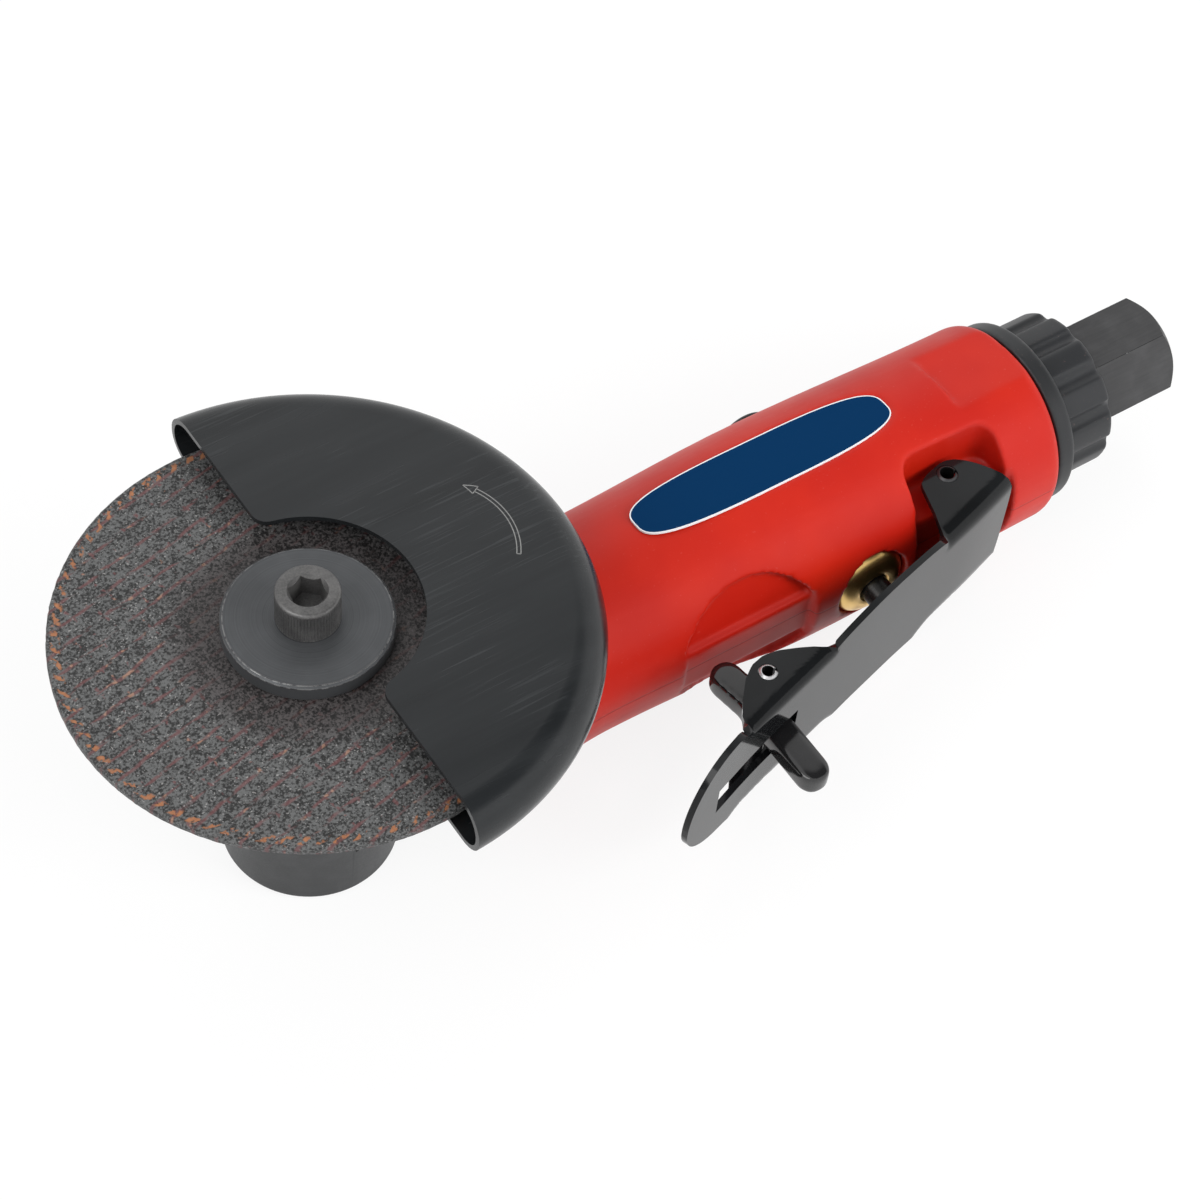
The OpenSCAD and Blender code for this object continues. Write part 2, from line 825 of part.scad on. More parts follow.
module valve_bushing() {
  color([0.75, 0.58, 0.25])
    difference() {
      turned_y([[0, bushing_end_y], [valve_bore_r, bushing_end_y], [valve_bore_r, bushing_seat_y],
        [bushing_head_r, bushing_seat_y], [bushing_head_r, bushing_rim_y],
        [(bushing_head_r * 2 + bushing_dome_r) / 3, (bushing_rim_y + bushing_top_y * 2) / 3],
        [bushing_dome_r, bushing_top_y], [0, bushing_top_y]]);
      along_y(bushing_top_y - overrun, bushing_end_y + overrun, stem_r + running_gap);
      along_y(bushing_neck_y, bushing_end_y + overrun, bushing_wide_r);
      translate([0, feed_y, 0])
        along_x(valve_x - valve_bore_r - overrun, valve_x, feed_r);
    }
}

module valve_seal() {
  color([0.06, 0.06, 0.06])
    difference() {
      along_y(bushing_end_y, bushing_end_y + seal_t, valve_bore_r);
      along_y(bushing_end_y - overrun, bushing_end_y + seal_t + overrun, seal_bore_r);
    }
}

module valve_spring() {
  run_l = plug_y - valve_spring_y - 2 * valve_wire_r;
  color([0.7, 0.7, 0.72])
    translate([valve_x, valve_spring_y + valve_wire_r, axis_h])
      rotate([-90, 0, 0])
        coil(valve_coil_r, valve_wire_r, valve_coil_turns, run_l / valve_coil_turns);
}

module valve_plug() {
  color([0.07, 0.07, 0.08])
    difference() {
      turned_y([[0, plug_y], [valve_bore_r, plug_y], [valve_bore_r, plug_seat_y],
        [plug_head_r, plug_seat_y], [plug_head_r, plug_top_y - plug_edge],
        [plug_head_r - plug_edge, plug_top_y], [0, plug_top_y]]);
      box([valve_x - plug_head_r - overrun, plug_top_y - plug_slot_t, axis_h - plug_slot_w / 2],
        [valve_x + plug_head_r + overrun, plug_top_y + overrun, axis_h + plug_slot_w / 2]);
    }
}

module valve_stem() {
  color([0.22, 0.2, 0.18])
    turned_y([[0, stem_tip_y], [stem_r - stem_tip_edge, stem_tip_y],
      [stem_r, stem_tip_y + stem_tip_edge], [stem_r, poppet_y], [poppet_r, poppet_y],
      [poppet_r, poppet_y + poppet_t], [0, poppet_y + poppet_t]]);
}

module inlet_bushing() {
  hex_r = inlet_af / sqrt(3);
  color([0.1, 0.1, 0.11])
    difference() {
      union() {
        along_x(inlet_thread_x, grip_rear_x, inlet_thread_r);
        along_x(grip_rear_x, hex_front_x, inlet_shank_r);
        intersection() {
          translate([hex_front_x, 0, axis_h])
            rotate([0, 90, 0])
              rotate([0, 0, 90])
                cylinder(h = inlet_end_x - hex_front_x, r = hex_r, $fn = 6);
          turned_x([[0, hex_front_x], [hex_r, hex_front_x], [hex_r, inlet_end_x - hex_edge],
            [hex_r - hex_edge, inlet_end_x], [0, inlet_end_x]]);
        }
      }
      along_x(inlet_thread_x - overrun, inlet_end_x + overrun, inlet_way_r);
      along_x(inlet_end_x - inlet_bore_l, inlet_end_x + overrun, inlet_bore_r);
    }
}

module inlet_screen() {
  x = inlet_end_x - inlet_bore_l - 2 * screen_t;
  color([0.65, 0.65, 0.66])
    difference() {
      along_x(x, x + screen_t, inlet_way_r);
      along_x(x - overrun, x + screen_t + overrun, screen_hole_r);
      for (i = [0 : screen_hole_count - 1])
        translate([0, screen_hole_place_r * cos(360 * i / screen_hole_count),
          screen_hole_place_r * sin(360 * i / screen_hole_count)])
          along_x(x - overrun, x + screen_t + overrun, screen_hole_r);
    }
}

module inlet_seal() {
  color([0.06, 0.06, 0.06])
    difference() {
      along_x(grip_rear_x - inlet_seal_t, grip_rear_x, inlet_seal_r);
      along_x(grip_rear_x - inlet_seal_t - overrun, grip_rear_x + overrun, inlet_thread_r);
    }
}

module exhaust_muffler() {
  color([0.5, 0.48, 0.44])
    difference() {
      along_x(muffler_front_x, muffler_rear_x, muffler_r);
      along_x(muffler_front_x - overrun, muffler_rear_x + overrun, inlet_shank_r);
    }
}

module exhaust_deflector() {
  flange_in_r = deflector_flange_r - deflector_wall;
  color([0.08, 0.08, 0.09])
    difference() {
      turned_x([[inlet_shank_r + running_gap, collar_wall_x], [collar_bore_r, collar_wall_x],
        [collar_bore_r, flange_rear_x - deflector_wall], [flange_in_r, flange_rear_x - deflector_wall],
        [flange_in_r, deflector_x], [deflector_flange_r, deflector_x],
        [deflector_flange_r, flange_rear_x - deflector_edge],
        [deflector_flange_r - deflector_edge, flange_rear_x], [collar_r, flange_rear_x],
        [collar_r, deflector_rear_x - deflector_edge], [collar_r - deflector_edge, deflector_rear_x],
        [inlet_shank_r + running_gap, deflector_rear_x]]);
      for (i = [0 : flute_count - 1])
        translate([flange_rear_x, 0, axis_h])
          rotate([360 * i / flute_count, 0, 0])
            translate([0, 0, flute_place_r])
              rotate([0, 90, 0])
                cylinder(h = deflector_rear_x - flange_rear_x + overrun, r = flute_r);
      for (a = vent_angles)
        translate([vent_x, 0, axis_h])
          rotate([-90 - a, 0, 0])
            cylinder(h = collar_r + overrun, r = vent_r);
    }
}

// Rolled pin along Z through a point of the XY plane
module roll_pin(x, y, r, half) {
  translate([x, y, axis_h - half])
    difference() {
      cylinder(h = 2 * half, r = r);
      translate([0, 0, -overrun])
        cylinder(h = 2 * half + 2 * overrun, r = r - pin_wall);
    }
}

module lever_pin() {
  color([0.3, 0.3, 0.31])
    roll_pin(lever_pin_x, lever_pin_y, pin_r, lever_w / 2 + pin_over);
}

module catch_pin() {
  color([0.3, 0.3, 0.31])
    roll_pin(catch_x, catch_y, catch_pin_r, front_w / 2 + pin_over);
}

// Side view of the bent sheet
module web_side_2d() {
  mid = [for (s = web_shares) lever_point(s)];
  last = len(mid) - 1;
  half = [for (i = [0 : last])
    let (a = mid[max(i - 1, 0)], b = mid[min(i + 1, last)])
    lever_t / 2 * norm(b - a) / abs(b[0] - a[0])];
  polygon(concat([for (i = [0 : last]) mid[i] + [0, half[i]]],
    [for (i = [last : -1 : 0]) mid[i] - [0, half[i]]]));
}

// View of the sheet from outside: along the grip and across it
module web_plan_2d() {
  wx = [for (s = width_x_shares) lever_pin_x - lever_len * s];
  tip_x = lever_pin_x - lever_len + tip_r;
  last = len(width_x_shares) - 1;
  half = [lever_w * rear_end_share, lever_w * rear_round_share, lever_w, lever_w, lever_waist_w,
    lever_waist_w, front_w, front_w] / 2;
  difference() {
    union() {
      polygon(concat([for (i = [0 : last]) [wx[i], half[i]]], [[tip_x, tip_r], [tip_x, -tip_r]],
        [for (i = [last : -1 : 0]) [wx[i], -half[i]]]));
      translate([tip_x, 0])
        circle(r = tip_r);
    }
    round_box_2d([lever_pin_x - lever_len * slot_front_share, -slot_w / 2],
      [lever_pin_x - lever_len * slot_rear_share, slot_w / 2], slot_edge_r);
  }
}

module rear_ear() {
  plate_at(lever_w / 2 - lever_t, lever_w / 2)
    difference() {
      polygon([for (s = rear_ear_shares) lever_point(s)]);
      translate([lever_pin_x, lever_pin_y])
        circle(r = pin_r + running_gap);
    }
}

module front_ear() {
  plate_at(front_w / 2 - lever_t, front_w / 2)
    difference() {
      union() {
        polygon([for (s = front_ear_shares) [catch_x - lever_len * s[0], catch_y - lever_reach * s[1]]]);
        translate([catch_x, catch_y])
          circle(r = front_ear_r);
      }
      translate([catch_x, catch_y])
        circle(r = catch_pin_r);
    }
}

module throttle_lever() {
  color([0.07, 0.07, 0.08])
    union() {
      intersection() {
        plate_at(-lever_w / 2, lever_w / 2)
          web_side_2d();
        translate([0, 0, axis_h])
          rotate([90, 0, 0])
            linear_extrude(height = lever_reach * 2)
              web_plan_2d();
      }
      both_sides()
        rear_ear();
      both_sides()
        front_ear();
    }
}

module catch_spring() {
  color([0.7, 0.7, 0.72])
    translate([catch_x, catch_y, axis_h + catch_t / 2 + 2 * catch_wire_r])
      coil(catch_coil_r, catch_wire_r, catch_coil_turns, catch_coil_pitch);
}

module safety_catch() {
  half = catch_w / 2;
  color([0.13, 0.13, 0.14])
    plate_at(-catch_t / 2, catch_t / 2)
      difference() {
        union() {
          translate([catch_x - half, catch_end_y + half])
            square([catch_w, catch_y - catch_end_y - half]);
          translate([catch_x, catch_end_y + half])
            circle(r = half);
          polygon([[catch_x - half, catch_y], [catch_x + half, catch_y],
            [catch_x - catch_tip_out + half, catch_tip_y - half],
            [catch_x - catch_tip_out - half, catch_tip_y - half]]);
          translate([catch_x - catch_tip_out, catch_tip_y - half])
            circle(r = half);
          translate([catch_x, catch_y])
            circle(r = catch_hub_r);
        }
        translate([catch_x, catch_y])
          circle(r = catch_pin_r + running_gap);
      }
}

module output_spindle() {
  color([0.6, 0.6, 0.62])
    difference() {
      turned_z([[0, lower_z - lower_well_t / 2], [lower_bore_r, lower_z - lower_well_t / 2],
        [lower_bore_r, gear_foot_z], [spindle_mid_r, gear_foot_z],
        [spindle_mid_r, axis_h - pinion_r * (1 - face_share)],
        [upper_bore_r, axis_h - pinion_r * (1 - face_share)], [upper_bore_r, spindle_top_z],
        [0, spindle_top_z]]);
      along_z(screw_tail_z - free_gap, spindle_top_z + overrun, screw_r);
    }
}

module bevel_gear() {
  color([0.5, 0.5, 0.52])
    difference() {
      intersection() {
        union() {
          translate([0, 0, axis_h])
            mirror([0, 0, 1])
              bevel_teeth(gear_teeth, gear_r, pinion_r, 0);
          along_z(gear_foot_z, axis_h - pinion_r, gear_hub_r);
        }
        along_z(gear_foot_z - overrun, axis_h, gear_trim_r);
      }
      along_z(gear_foot_z - overrun, axis_h, spindle_mid_r);
    }
}

module inner_flange() {
  color([0.16, 0.16, 0.17])
    turned_z([[upper_bore_r, upper_top_z], [inner_hub_r, upper_top_z], [inner_hub_r, inner_flange_z],
      [inner_flange_r, inner_flange_z], [inner_flange_r, disc_bottom_z], [upper_bore_r, disc_bottom_z]]);
}

module cutting_disc() {
  color([0.16, 0.15, 0.15])
    difference() {
      along_z(disc_bottom_z, disc_top_h, disc_d / 2);
      along_z(disc_bottom_z - overrun, disc_top_h + overrun, upper_bore_r);
    }
}

module outer_flange() {
  top = disc_top_h + outer_flange_t;
  color([0.15, 0.15, 0.16])
    turned_z([[screw_r, disc_top_h + flange_relief_t], [flange_relief_r, disc_top_h + flange_relief_t],
      [flange_relief_r, disc_top_h], [outer_flange_d / 2, disc_top_h],
      [outer_flange_d / 2, top - flange_edge], [outer_flange_d / 2 - flange_edge, top], [screw_r, top]]);
}

module clamp_screw() {
  seat = disc_top_h + outer_flange_t;
  head = screw_head_d / 2;
  color([0.12, 0.12, 0.13])
    difference() {
      turned_z([[0, screw_tail_z], [screw_r, screw_tail_z], [screw_r, seat], [head, seat],
        [head, screw_top_z - head_edge], [head - head_edge, screw_top_z], [0, screw_top_z]]);
      translate([0, 0, screw_top_z - socket_t])
        cylinder(h = socket_t + overrun, r = key_af / sqrt(3), $fn = 6);
    }
}

module motor_rotor() {
  core_x = liner_x + rotor_end_gap;
  core_end_x = rear_plate_x - rotor_end_gap;
  color([0.45, 0.45, 0.47])
    difference() {
      union() {
        at_shaft(nose_x)
          cylinder(h = front_plate_x - nose_x, r = nose_af / sqrt(3), $fn = 6);
        along_x(front_plate_x, gasket_x - free_gap, rotor_bore_r);
        along_x(core_x, core_end_x, rotor_r);
      }
      for (i = [0 : vane_count - 1])
        translate([0, 0, axis_h])
          rotate([360 * i / vane_count, 0, 0])
            box([core_x - overrun, -vane_slot_t / 2, rotor_r - vane_slot_h],
              [core_end_x + overrun, vane_slot_t / 2, rotor_r + overrun]);
    }
}

module rotor_vanes() {
  color([0.35, 0.22, 0.12])
    for (i = [0 : vane_count - 1])
      translate([0, 0, axis_h])
        rotate([360 * i / vane_count, 0, 0])
          box([liner_x + rotor_end_gap, -vane_t / 2, rotor_r - vane_slot_h],
            [rear_plate_x - rotor_end_gap, vane_t / 2, rotor_r - vane_slot_h + vane_h]);
}

module bevel_pinion() {
  color([0.5, 0.5, 0.52])
    difference() {
      union() {
        at_shaft(0)
          bevel_teeth(pinion_teeth, pinion_r, gear_r, 180 / pinion_teeth);
        along_x(gear_r, pinion_x, pinion_hub_r);
        along_x(gear_r, pinion_end_x, pinion_bore_r);
        along_x(pinion_end_x, coupling_end_x, coupling_r);
      }
      at_shaft(nose_x)
        cylinder(h = coupling_end_x - nose_x + overrun, r = nose_af / sqrt(3), $fn = 6);
    }
}

module steel() {
  color([0.72, 0.72, 0.74])
    children();
}

module spindle_upper_outer_ring() {
  steel()
    at_spindle(upper_z)
      outer_ring(upper_bore_r, upper_outer_r, upper_w);
}

module spindle_upper_inner_ring() {
  steel()
    at_spindle(upper_z)
      inner_ring(upper_bore_r, upper_outer_r, upper_w);
}

module spindle_upper_balls() {
  steel()
    at_spindle(upper_z)
      ball_set(upper_bore_r, upper_outer_r, upper_w);
}

module spindle_lower_outer_ring() {
  steel()
    at_spindle(lower_z)
      outer_ring(lower_bore_r, lower_outer_r, lower_w);
}

module spindle_lower_inner_ring() {
  steel()
    at_spindle(lower_z)
      inner_ring(lower_bore_r, lower_outer_r, lower_w);
}

module spindle_lower_balls() {
  steel()
    at_spindle(lower_z)
      ball_set(lower_bore_r, lower_outer_r, lower_w);
}

module pinion_outer_ring() {
  steel()
    at_shaft(pinion_x)
      outer_ring(pinion_bore_r, pinion_outer_r, pinion_w);
}

module pinion_inner_ring() {
  steel()
    at_shaft(pinion_x)
      inner_ring(pinion_bore_r, pinion_outer_r, pinion_w);
}

module pinion_balls() {
  steel()
    at_shaft(pinion_x)
      ball_set(pinion_bore_r, pinion_outer_r, pinion_w);
}

module rotor_front_outer_ring() {
  steel()
    at_shaft(liner_x - plate_skin - rotor_w)
      outer_ring(rotor_bore_r, rotor_outer_r, rotor_w);
}

module rotor_front_inner_ring() {
  steel()
    at_shaft(liner_x - plate_skin - rotor_w)
      inner_ring(rotor_bore_r, rotor_outer_r, rotor_w);
}

module rotor_front_balls() {
  steel()
    at_shaft(liner_x - plate_skin - rotor_w)
      ball_set(rotor_bore_r, rotor_outer_r, rotor_w);
}

module rotor_rear_outer_ring() {
  steel()
    at_shaft(rear_plate_x + plate_skin)
      outer_ring(rotor_bore_r, rotor_outer_r, rotor_w);
}

module rotor_rear_inner_ring() {
  steel()
    at_shaft(rear_plate_x + plate_skin)
      inner_ring(rotor_bore_r, rotor_outer_r, rotor_w);
}

module rotor_rear_balls() {
  steel()
    at_shaft(rear_plate_x + plate_skin)
      ball_set(rotor_bore_r, rotor_outer_r, rotor_w);
}

grip_housing();
angle_head();
head_lock_ring();
bearing_retainer();
wheel_guard();
guard_screws();
name_plate();
motor_cylinder();
front_end_plate();
rear_end_plate();
motor_gasket();
cylinder_dowel();
valve_bushing();
valve_seal();
valve_spring();
valve_plug();
valve_stem();
inlet_bushing();
inlet_screen();
inlet_seal();
exhaust_muffler();
exhaust_deflector();
lever_pin();
throttle_lever();
catch_pin();
catch_spring();
safety_catch();
output_spindle();
bevel_gear();
inner_flange();
cutting_disc();
outer_flange();
clamp_screw();
motor_rotor();
rotor_vanes();
bevel_pinion();
spindle_upper_outer_ring();
spindle_upper_inner_ring();
spindle_upper_balls();
spindle_lower_outer_ring();
spindle_lower_inner_ring();
spindle_lower_balls();
pinion_outer_ring();
pinion_inner_ring();
pinion_balls();
rotor_front_outer_ring();
rotor_front_inner_ring();
rotor_front_balls();
rotor_rear_outer_ring();
rotor_rear_inner_ring();
rotor_rear_balls();
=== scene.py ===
"""Looks of a pneumatic cut off tool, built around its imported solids.

Each sub-assembly of the tool is a class that models its pieces and dresses them. Lengths in the
classes are millimetres, and a piece is brought to metres when its mesh is finished.
"""

import json
import logging
import math
from dataclasses import dataclass, field
from enum import Enum
from typing import Sequence

import bmesh
import bpy
from bmesh.types import BMesh
from bpy.types import Material, Node, NodeSocket, NodeTree, Object
from mathutils import Matrix, Vector, noise

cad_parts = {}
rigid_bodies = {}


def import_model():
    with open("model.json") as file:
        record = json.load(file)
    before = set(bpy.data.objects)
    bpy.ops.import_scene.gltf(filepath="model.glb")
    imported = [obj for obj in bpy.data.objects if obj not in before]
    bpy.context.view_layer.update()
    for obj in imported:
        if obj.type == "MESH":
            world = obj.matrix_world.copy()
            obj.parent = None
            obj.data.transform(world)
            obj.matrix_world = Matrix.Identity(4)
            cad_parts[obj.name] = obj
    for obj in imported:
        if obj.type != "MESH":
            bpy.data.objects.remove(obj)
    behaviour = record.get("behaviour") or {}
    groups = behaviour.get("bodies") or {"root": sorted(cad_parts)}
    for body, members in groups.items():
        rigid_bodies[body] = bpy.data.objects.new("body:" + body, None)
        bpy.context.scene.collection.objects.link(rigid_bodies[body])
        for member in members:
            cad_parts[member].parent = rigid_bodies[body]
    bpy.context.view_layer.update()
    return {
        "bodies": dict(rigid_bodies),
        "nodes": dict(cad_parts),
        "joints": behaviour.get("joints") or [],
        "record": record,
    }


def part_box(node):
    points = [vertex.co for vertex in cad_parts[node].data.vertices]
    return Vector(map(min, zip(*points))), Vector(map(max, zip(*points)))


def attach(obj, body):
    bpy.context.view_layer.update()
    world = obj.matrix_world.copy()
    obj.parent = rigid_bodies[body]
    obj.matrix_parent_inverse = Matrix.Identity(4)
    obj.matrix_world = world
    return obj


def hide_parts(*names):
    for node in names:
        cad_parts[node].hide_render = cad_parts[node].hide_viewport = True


MM = 0.001
WELD = 0.002
FLAT_ANGLE = 0.3
EDGE_STEPS = 3
HEXAGON = 6
SMOOTHING = 0.5
TINY = 1e-9
FULL_TURN = 2 * math.pi
WHITE = (1.0, 1.0, 1.0, 1.0)
Point = tuple[float, float]
Colour = tuple[float, float, float]
log = logging.getLogger("cut_off_tool")


class Axis(Enum):
    """Direction that a turned piece is spun about."""

    Y = (0.0, 1.0, 0.0)
    Z = (0.0, 0.0, 1.0)

    def place(self, radius: float, along: float, centre: Vector) -> Vector:
        """Put a profile point at its start place.

        Args:
            radius: Distance from the axis.
            along: Coordinate along the axis.
            centre: A point of the axis.

        Returns:
            The point in the tool's frame.
        """
        if self is Axis.Y:
            return Vector((centre.x, along, centre.z + radius))
        return Vector((centre.x + radius, centre.y, along))


class Body(Enum):
    """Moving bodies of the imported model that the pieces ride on."""

    HOUSING = "housing"
    SPINDLE = "spindle"
    LEVER = "lever"
    CATCH = "catch"
    STEM = "stem"
    DEFLECTOR = "deflector"


class Marks(Enum):
    """Tool marks that a machined face carries."""

    ROUND_Z = "turned about the spindle"
    ALONG_X = "drawn along the grip"
    BLASTED = "even grain"


# Shader building


class Nodes:
    """A node tree under construction."""

    def __init__(self, tree: NodeTree) -> None:
        """Take the tree to build in."""
        self.tree = tree

    def add(self, kind: str, **inputs: object) -> Node:
        """Add a node and set or link its inputs by name.

        Args:
            kind: Type name of the node.
            **inputs: Socket values, with spaces of the socket names written as underscores.

        Returns:
            The new node.
        """
        made = self.tree.nodes.new(kind)
        self.fill(made, **inputs)
        return made

    def fill(self, node: Node, **inputs: object) -> None:
        """Set or link inputs of a node by name, as add does."""
        for name, value in inputs.items():
            self.feed(node.inputs[name.replace("_", " ")], value)

    def feed(self, socket: NodeSocket, value: object) -> None:
        """Link a socket to another one, or set it to a constant.

        Args:
            socket: The input to feed.
            value: A socket to link, or a constant.
        """
        if isinstance(value, NodeSocket):
            self.tree.links.new(value, socket)
        else:
            socket.default_value = value

    def math(self, operation: str, *values: object) -> NodeSocket:
        """Work out a number.

        Args:
            operation: Operation of a Math node.
            *values: Its inputs, numbers or sockets.

        Returns:
            The result's socket.
        """
        made = self.tree.nodes.new("ShaderNodeMath")
        made.operation = operation
        for socket, value in zip(made.inputs, values):
            self.feed(socket, value)
        return made.outputs[0]

    def times(self, *values: object) -> NodeSocket:
        """Product of two numbers or sockets."""
        return self.math("MULTIPLY", *values)

    def ramp(
        self, value: object, low: float, high: float, first: float = 0.0, last: float = 1.0
    ) -> NodeSocket:
        """Smooth step of a value.

        Args:
            value: The value to follow.
            low: Value at which the step starts.
            high: Value at which it ends.
            first: Result at the start.
            last: Result at the end.

        Returns:
            The result's socket.
        """
        made = self.add("ShaderNodeMapRange", Value=value, From_Min=low, From_Max=high,
                        To_Min=first, To_Max=last)
        made.interpolation_type = "SMOOTHSTEP"
        return made.outputs["Result"]

    def shade(self, share: object, first: Node, second: Node, output: str) -> None:
        """Show a mix of two shaders.

        Args:
            share: Share of the second shader.
            first: Node of the shader at a share of 0.
            second: Node of the shader at a share of 1.
            output: Name of the output node.
        """
        made = self.add("ShaderNodeMixShader")
        for socket, value in zip(made.inputs, (share, first.outputs[0], second.outputs[0])):
            self.feed(socket, value)
        self.feed(self.tree.nodes[output].inputs["Surface"], made.outputs[0])


class Graph(Nodes):
    """A material under construction, with one Principled shader."""

    def __init__(self, name: str) -> None:
        """Start the material.

        Args:
            name: Name of the material.
        """
        self.material = bpy.data.materials.new(name)
        self.material.use_nodes = True
        super().__init__(self.material.node_tree)
        self.shader = self.tree.nodes["Principled BSDF"]
        self._coords = self.add("ShaderNodeTexCoord").outputs["Object"]

    def set(self, **inputs: object) -> None:
        """Set or link inputs of the Principled shader by name."""
        self.fill(self.shader, **inputs)

    def span(self, value: object, low: float, high: float) -> NodeSocket:
        """Spread a value of 0 to 1 over low to high."""
        made = self.add("ShaderNodeMapRange", Value=value, To_Min=low, To_Max=high)
        return made.outputs["Result"]

    def radius(self, across: NodeSocket, along: NodeSocket) -> NodeSocket:
        """Distance of a place from the axis."""
        squares = [self.times(part, part) for part in (across, along)]
        return self.math("SQRT", self.math("ADD", *squares))

    def blend(self, share: object, first: object, second: object) -> NodeSocket:
        """Mix two colours.

        Args:
            share: Share of the second colour.
            first: Colour or socket at a share of 0.
            second: Colour or socket at a share of 1.

        Returns:
            The mixed colour's socket.
        """
        made = self.tree.nodes.new("ShaderNodeMix")
        made.data_type = "RGBA"
        self.feed(made.inputs[0], share)
        for socket, value in ((made.inputs[6], first), (made.inputs[7], second)):
            self.feed(socket, (*value, 1.0) if isinstance(value, tuple) else value)
        return made.outputs[2]

    def coords(
        self, move: Sequence[float] = (0, 0, 0), turn: Sequence[float] = (0, 0, 0),
        scale: Sequence[float] = (1, 1, 1),
    ) -> NodeSocket:
        """Object coordinates, moved by millimetres, then turned by degrees and scaled.

        Args:
            move: Millimetres taken off the coordinates first.
            turn: Degrees about each axis.
            scale: Factors along the turned axes.

        Returns:
            The vector's socket.
        """
        moved = self.add("ShaderNodeMapping", Vector=self._coords, Location=[-v * MM for v in move])
        return self.add(
            "ShaderNodeMapping", Vector=moved.outputs[0], Rotation=[math.radians(v) for v in turn],
            Scale=scale,
        ).outputs[0]

    def axes(self, vector: NodeSocket) -> list[NodeSocket]:
        """The three components of a vector, in millimetres."""
        split = self.add("ShaderNodeSeparateXYZ", Vector=vector)
        return [self.math("MULTIPLY", out, 1 / MM) for out in split.outputs]

    def grain(
        self, grain_mm: float, detail: float = 2.0, vector: object = None, rough: float = 0.5
    ) -> NodeSocket:
        """Noise with grains of a given size.

        Args:
            grain_mm: Size of a grain in millimetres.
            detail: Octaves of finer noise.
            vector: Coordinates to read, or None for the object's own.
            rough: Strength of the finer octaves.

        Returns:
            The noise value's socket.
        """
        return self.add(
            "ShaderNodeTexNoise", Vector=vector or self._coords, Scale=1 / (grain_mm * MM),
            Detail=detail, Roughness=rough,
        ).outputs[0]

    def bump(self, height: object, depth_mm: float, strength: float = 1.0) -> None:
        """Raise the surface by a height value over what is raised already.

        Args:
            height: Height value, 0 to 1.
            depth_mm: Depth in millimetres that a height of 1 stands for.
            strength: Strength of the effect.
        """
        under = self.shader.inputs["Normal"]
        made = self.add("ShaderNodeBump", Height=height, Distance=depth_mm * MM, Strength=strength)
        if under.is_linked:
            self.feed(made.inputs["Normal"], under.links[0].from_socket)
        self.feed(under, made.outputs[0])


# Finishes


@dataclass(frozen=True)
class Finish:
    """A named finish, which lays itself on a material of its own."""

    name: str

    def make(self) -> Material:
        """Build the material.

        Returns:
            The finished material.
        """
        graph = Graph(self.name)
        self.lay(graph)
        return graph.material

    def lay(self, graph: Graph) -> None:
        """Lay the finish, in each kind's own way.

        Args:
            graph: The material under construction.
        """
        raise NotImplementedError


@dataclass(frozen=True)
class MouldedPlastic(Finish):
    """Satin moulded plastic with a fine spark grain."""

    colour: Colour
    deep: Colour
    rough: float
    seam_z: float | None = None
    shine: float = 0.4
    speck: Colour = (0.75, 0.45, 0.42)
    seam: Colour = (0.10, 0.004, 0.004)
    seam_lean: float = 0.03

    def lay(self, graph: Graph) -> None:
        """Lay the finish.

        Args:
            graph: The material under construction.
        """
        patch = graph.grain(18, 3)
        colour = graph.blend(graph.ramp(patch, 0.3, 0.7), self.deep, self.colour)
        speck = graph.ramp(graph.grain(0.45, 1), 0.70, 0.78)
        colour = graph.blend(graph.times(speck, 0.05), colour, self.speck)
        graph.set(
            Roughness=graph.span(graph.grain(5, 4), self.rough - 0.07, self.rough + 0.07),
            Specular_IOR_Level=self.shine,
        )
        graph.bump(graph.grain(0.28, 2), 0.012, 0.5)
        if self.seam_z is not None:
            _, across, up = graph.axes(graph.coords((0, 0, self.seam_z)))
            near = graph.math("ABSOLUTE", graph.math("MULTIPLY_ADD", across, self.seam_lean, up))
            side = graph.ramp(across, -6.0, -9.0)
            line = graph.times(graph.ramp(near, 0.16, 0.05), side)
            colour = graph.blend(graph.times(line, 0.5), colour, self.seam)
            graph.bump(graph.math("SUBTRACT", 1.0, line), 0.06)
        graph.set(Base_Color=colour)


@dataclass(frozen=True)
class StreakedPaint(Finish):
    """Semi gloss blackened sheet with brush streaks along the grip and hairline scratches."""

    colour: Colour
    streak: Colour
    rough: float = 0.24

    def lay(self, graph: Graph) -> None:
        """Lay the finish.

        Args:
            graph: The material under construction.
        """
        fine = graph.grain(0.55, 3, graph.coords(turn=(0, 0, -6), scale=(0.035, 1, 1)))
        broad = graph.grain(4.5, 3, graph.coords(turn=(0, 0, -9), scale=(0.12, 1, 1)))
        cloud = graph.grain(22, 2)
        where = graph.ramp(cloud, 0.42, 0.62)
        streak = graph.times(graph.ramp(fine, 0.52, 0.72), where)
        tone = graph.math("MULTIPLY_ADD", broad, 0.5, graph.times(streak, 0.5))
        colour = graph.blend(tone, self.colour, self.streak)
        gloss = graph.span(broad, self.rough - 0.08, self.rough + 0.10)
        graph.set(
            Base_Color=colour, Roughness=graph.math("MULTIPLY_ADD", streak, 0.08, gloss),
            Specular_IOR_Level=0.36,
        )
        graph.bump(fine, 0.010, 0.6)
        graph.bump(graph.grain(9, 2), 0.04, 0.3)


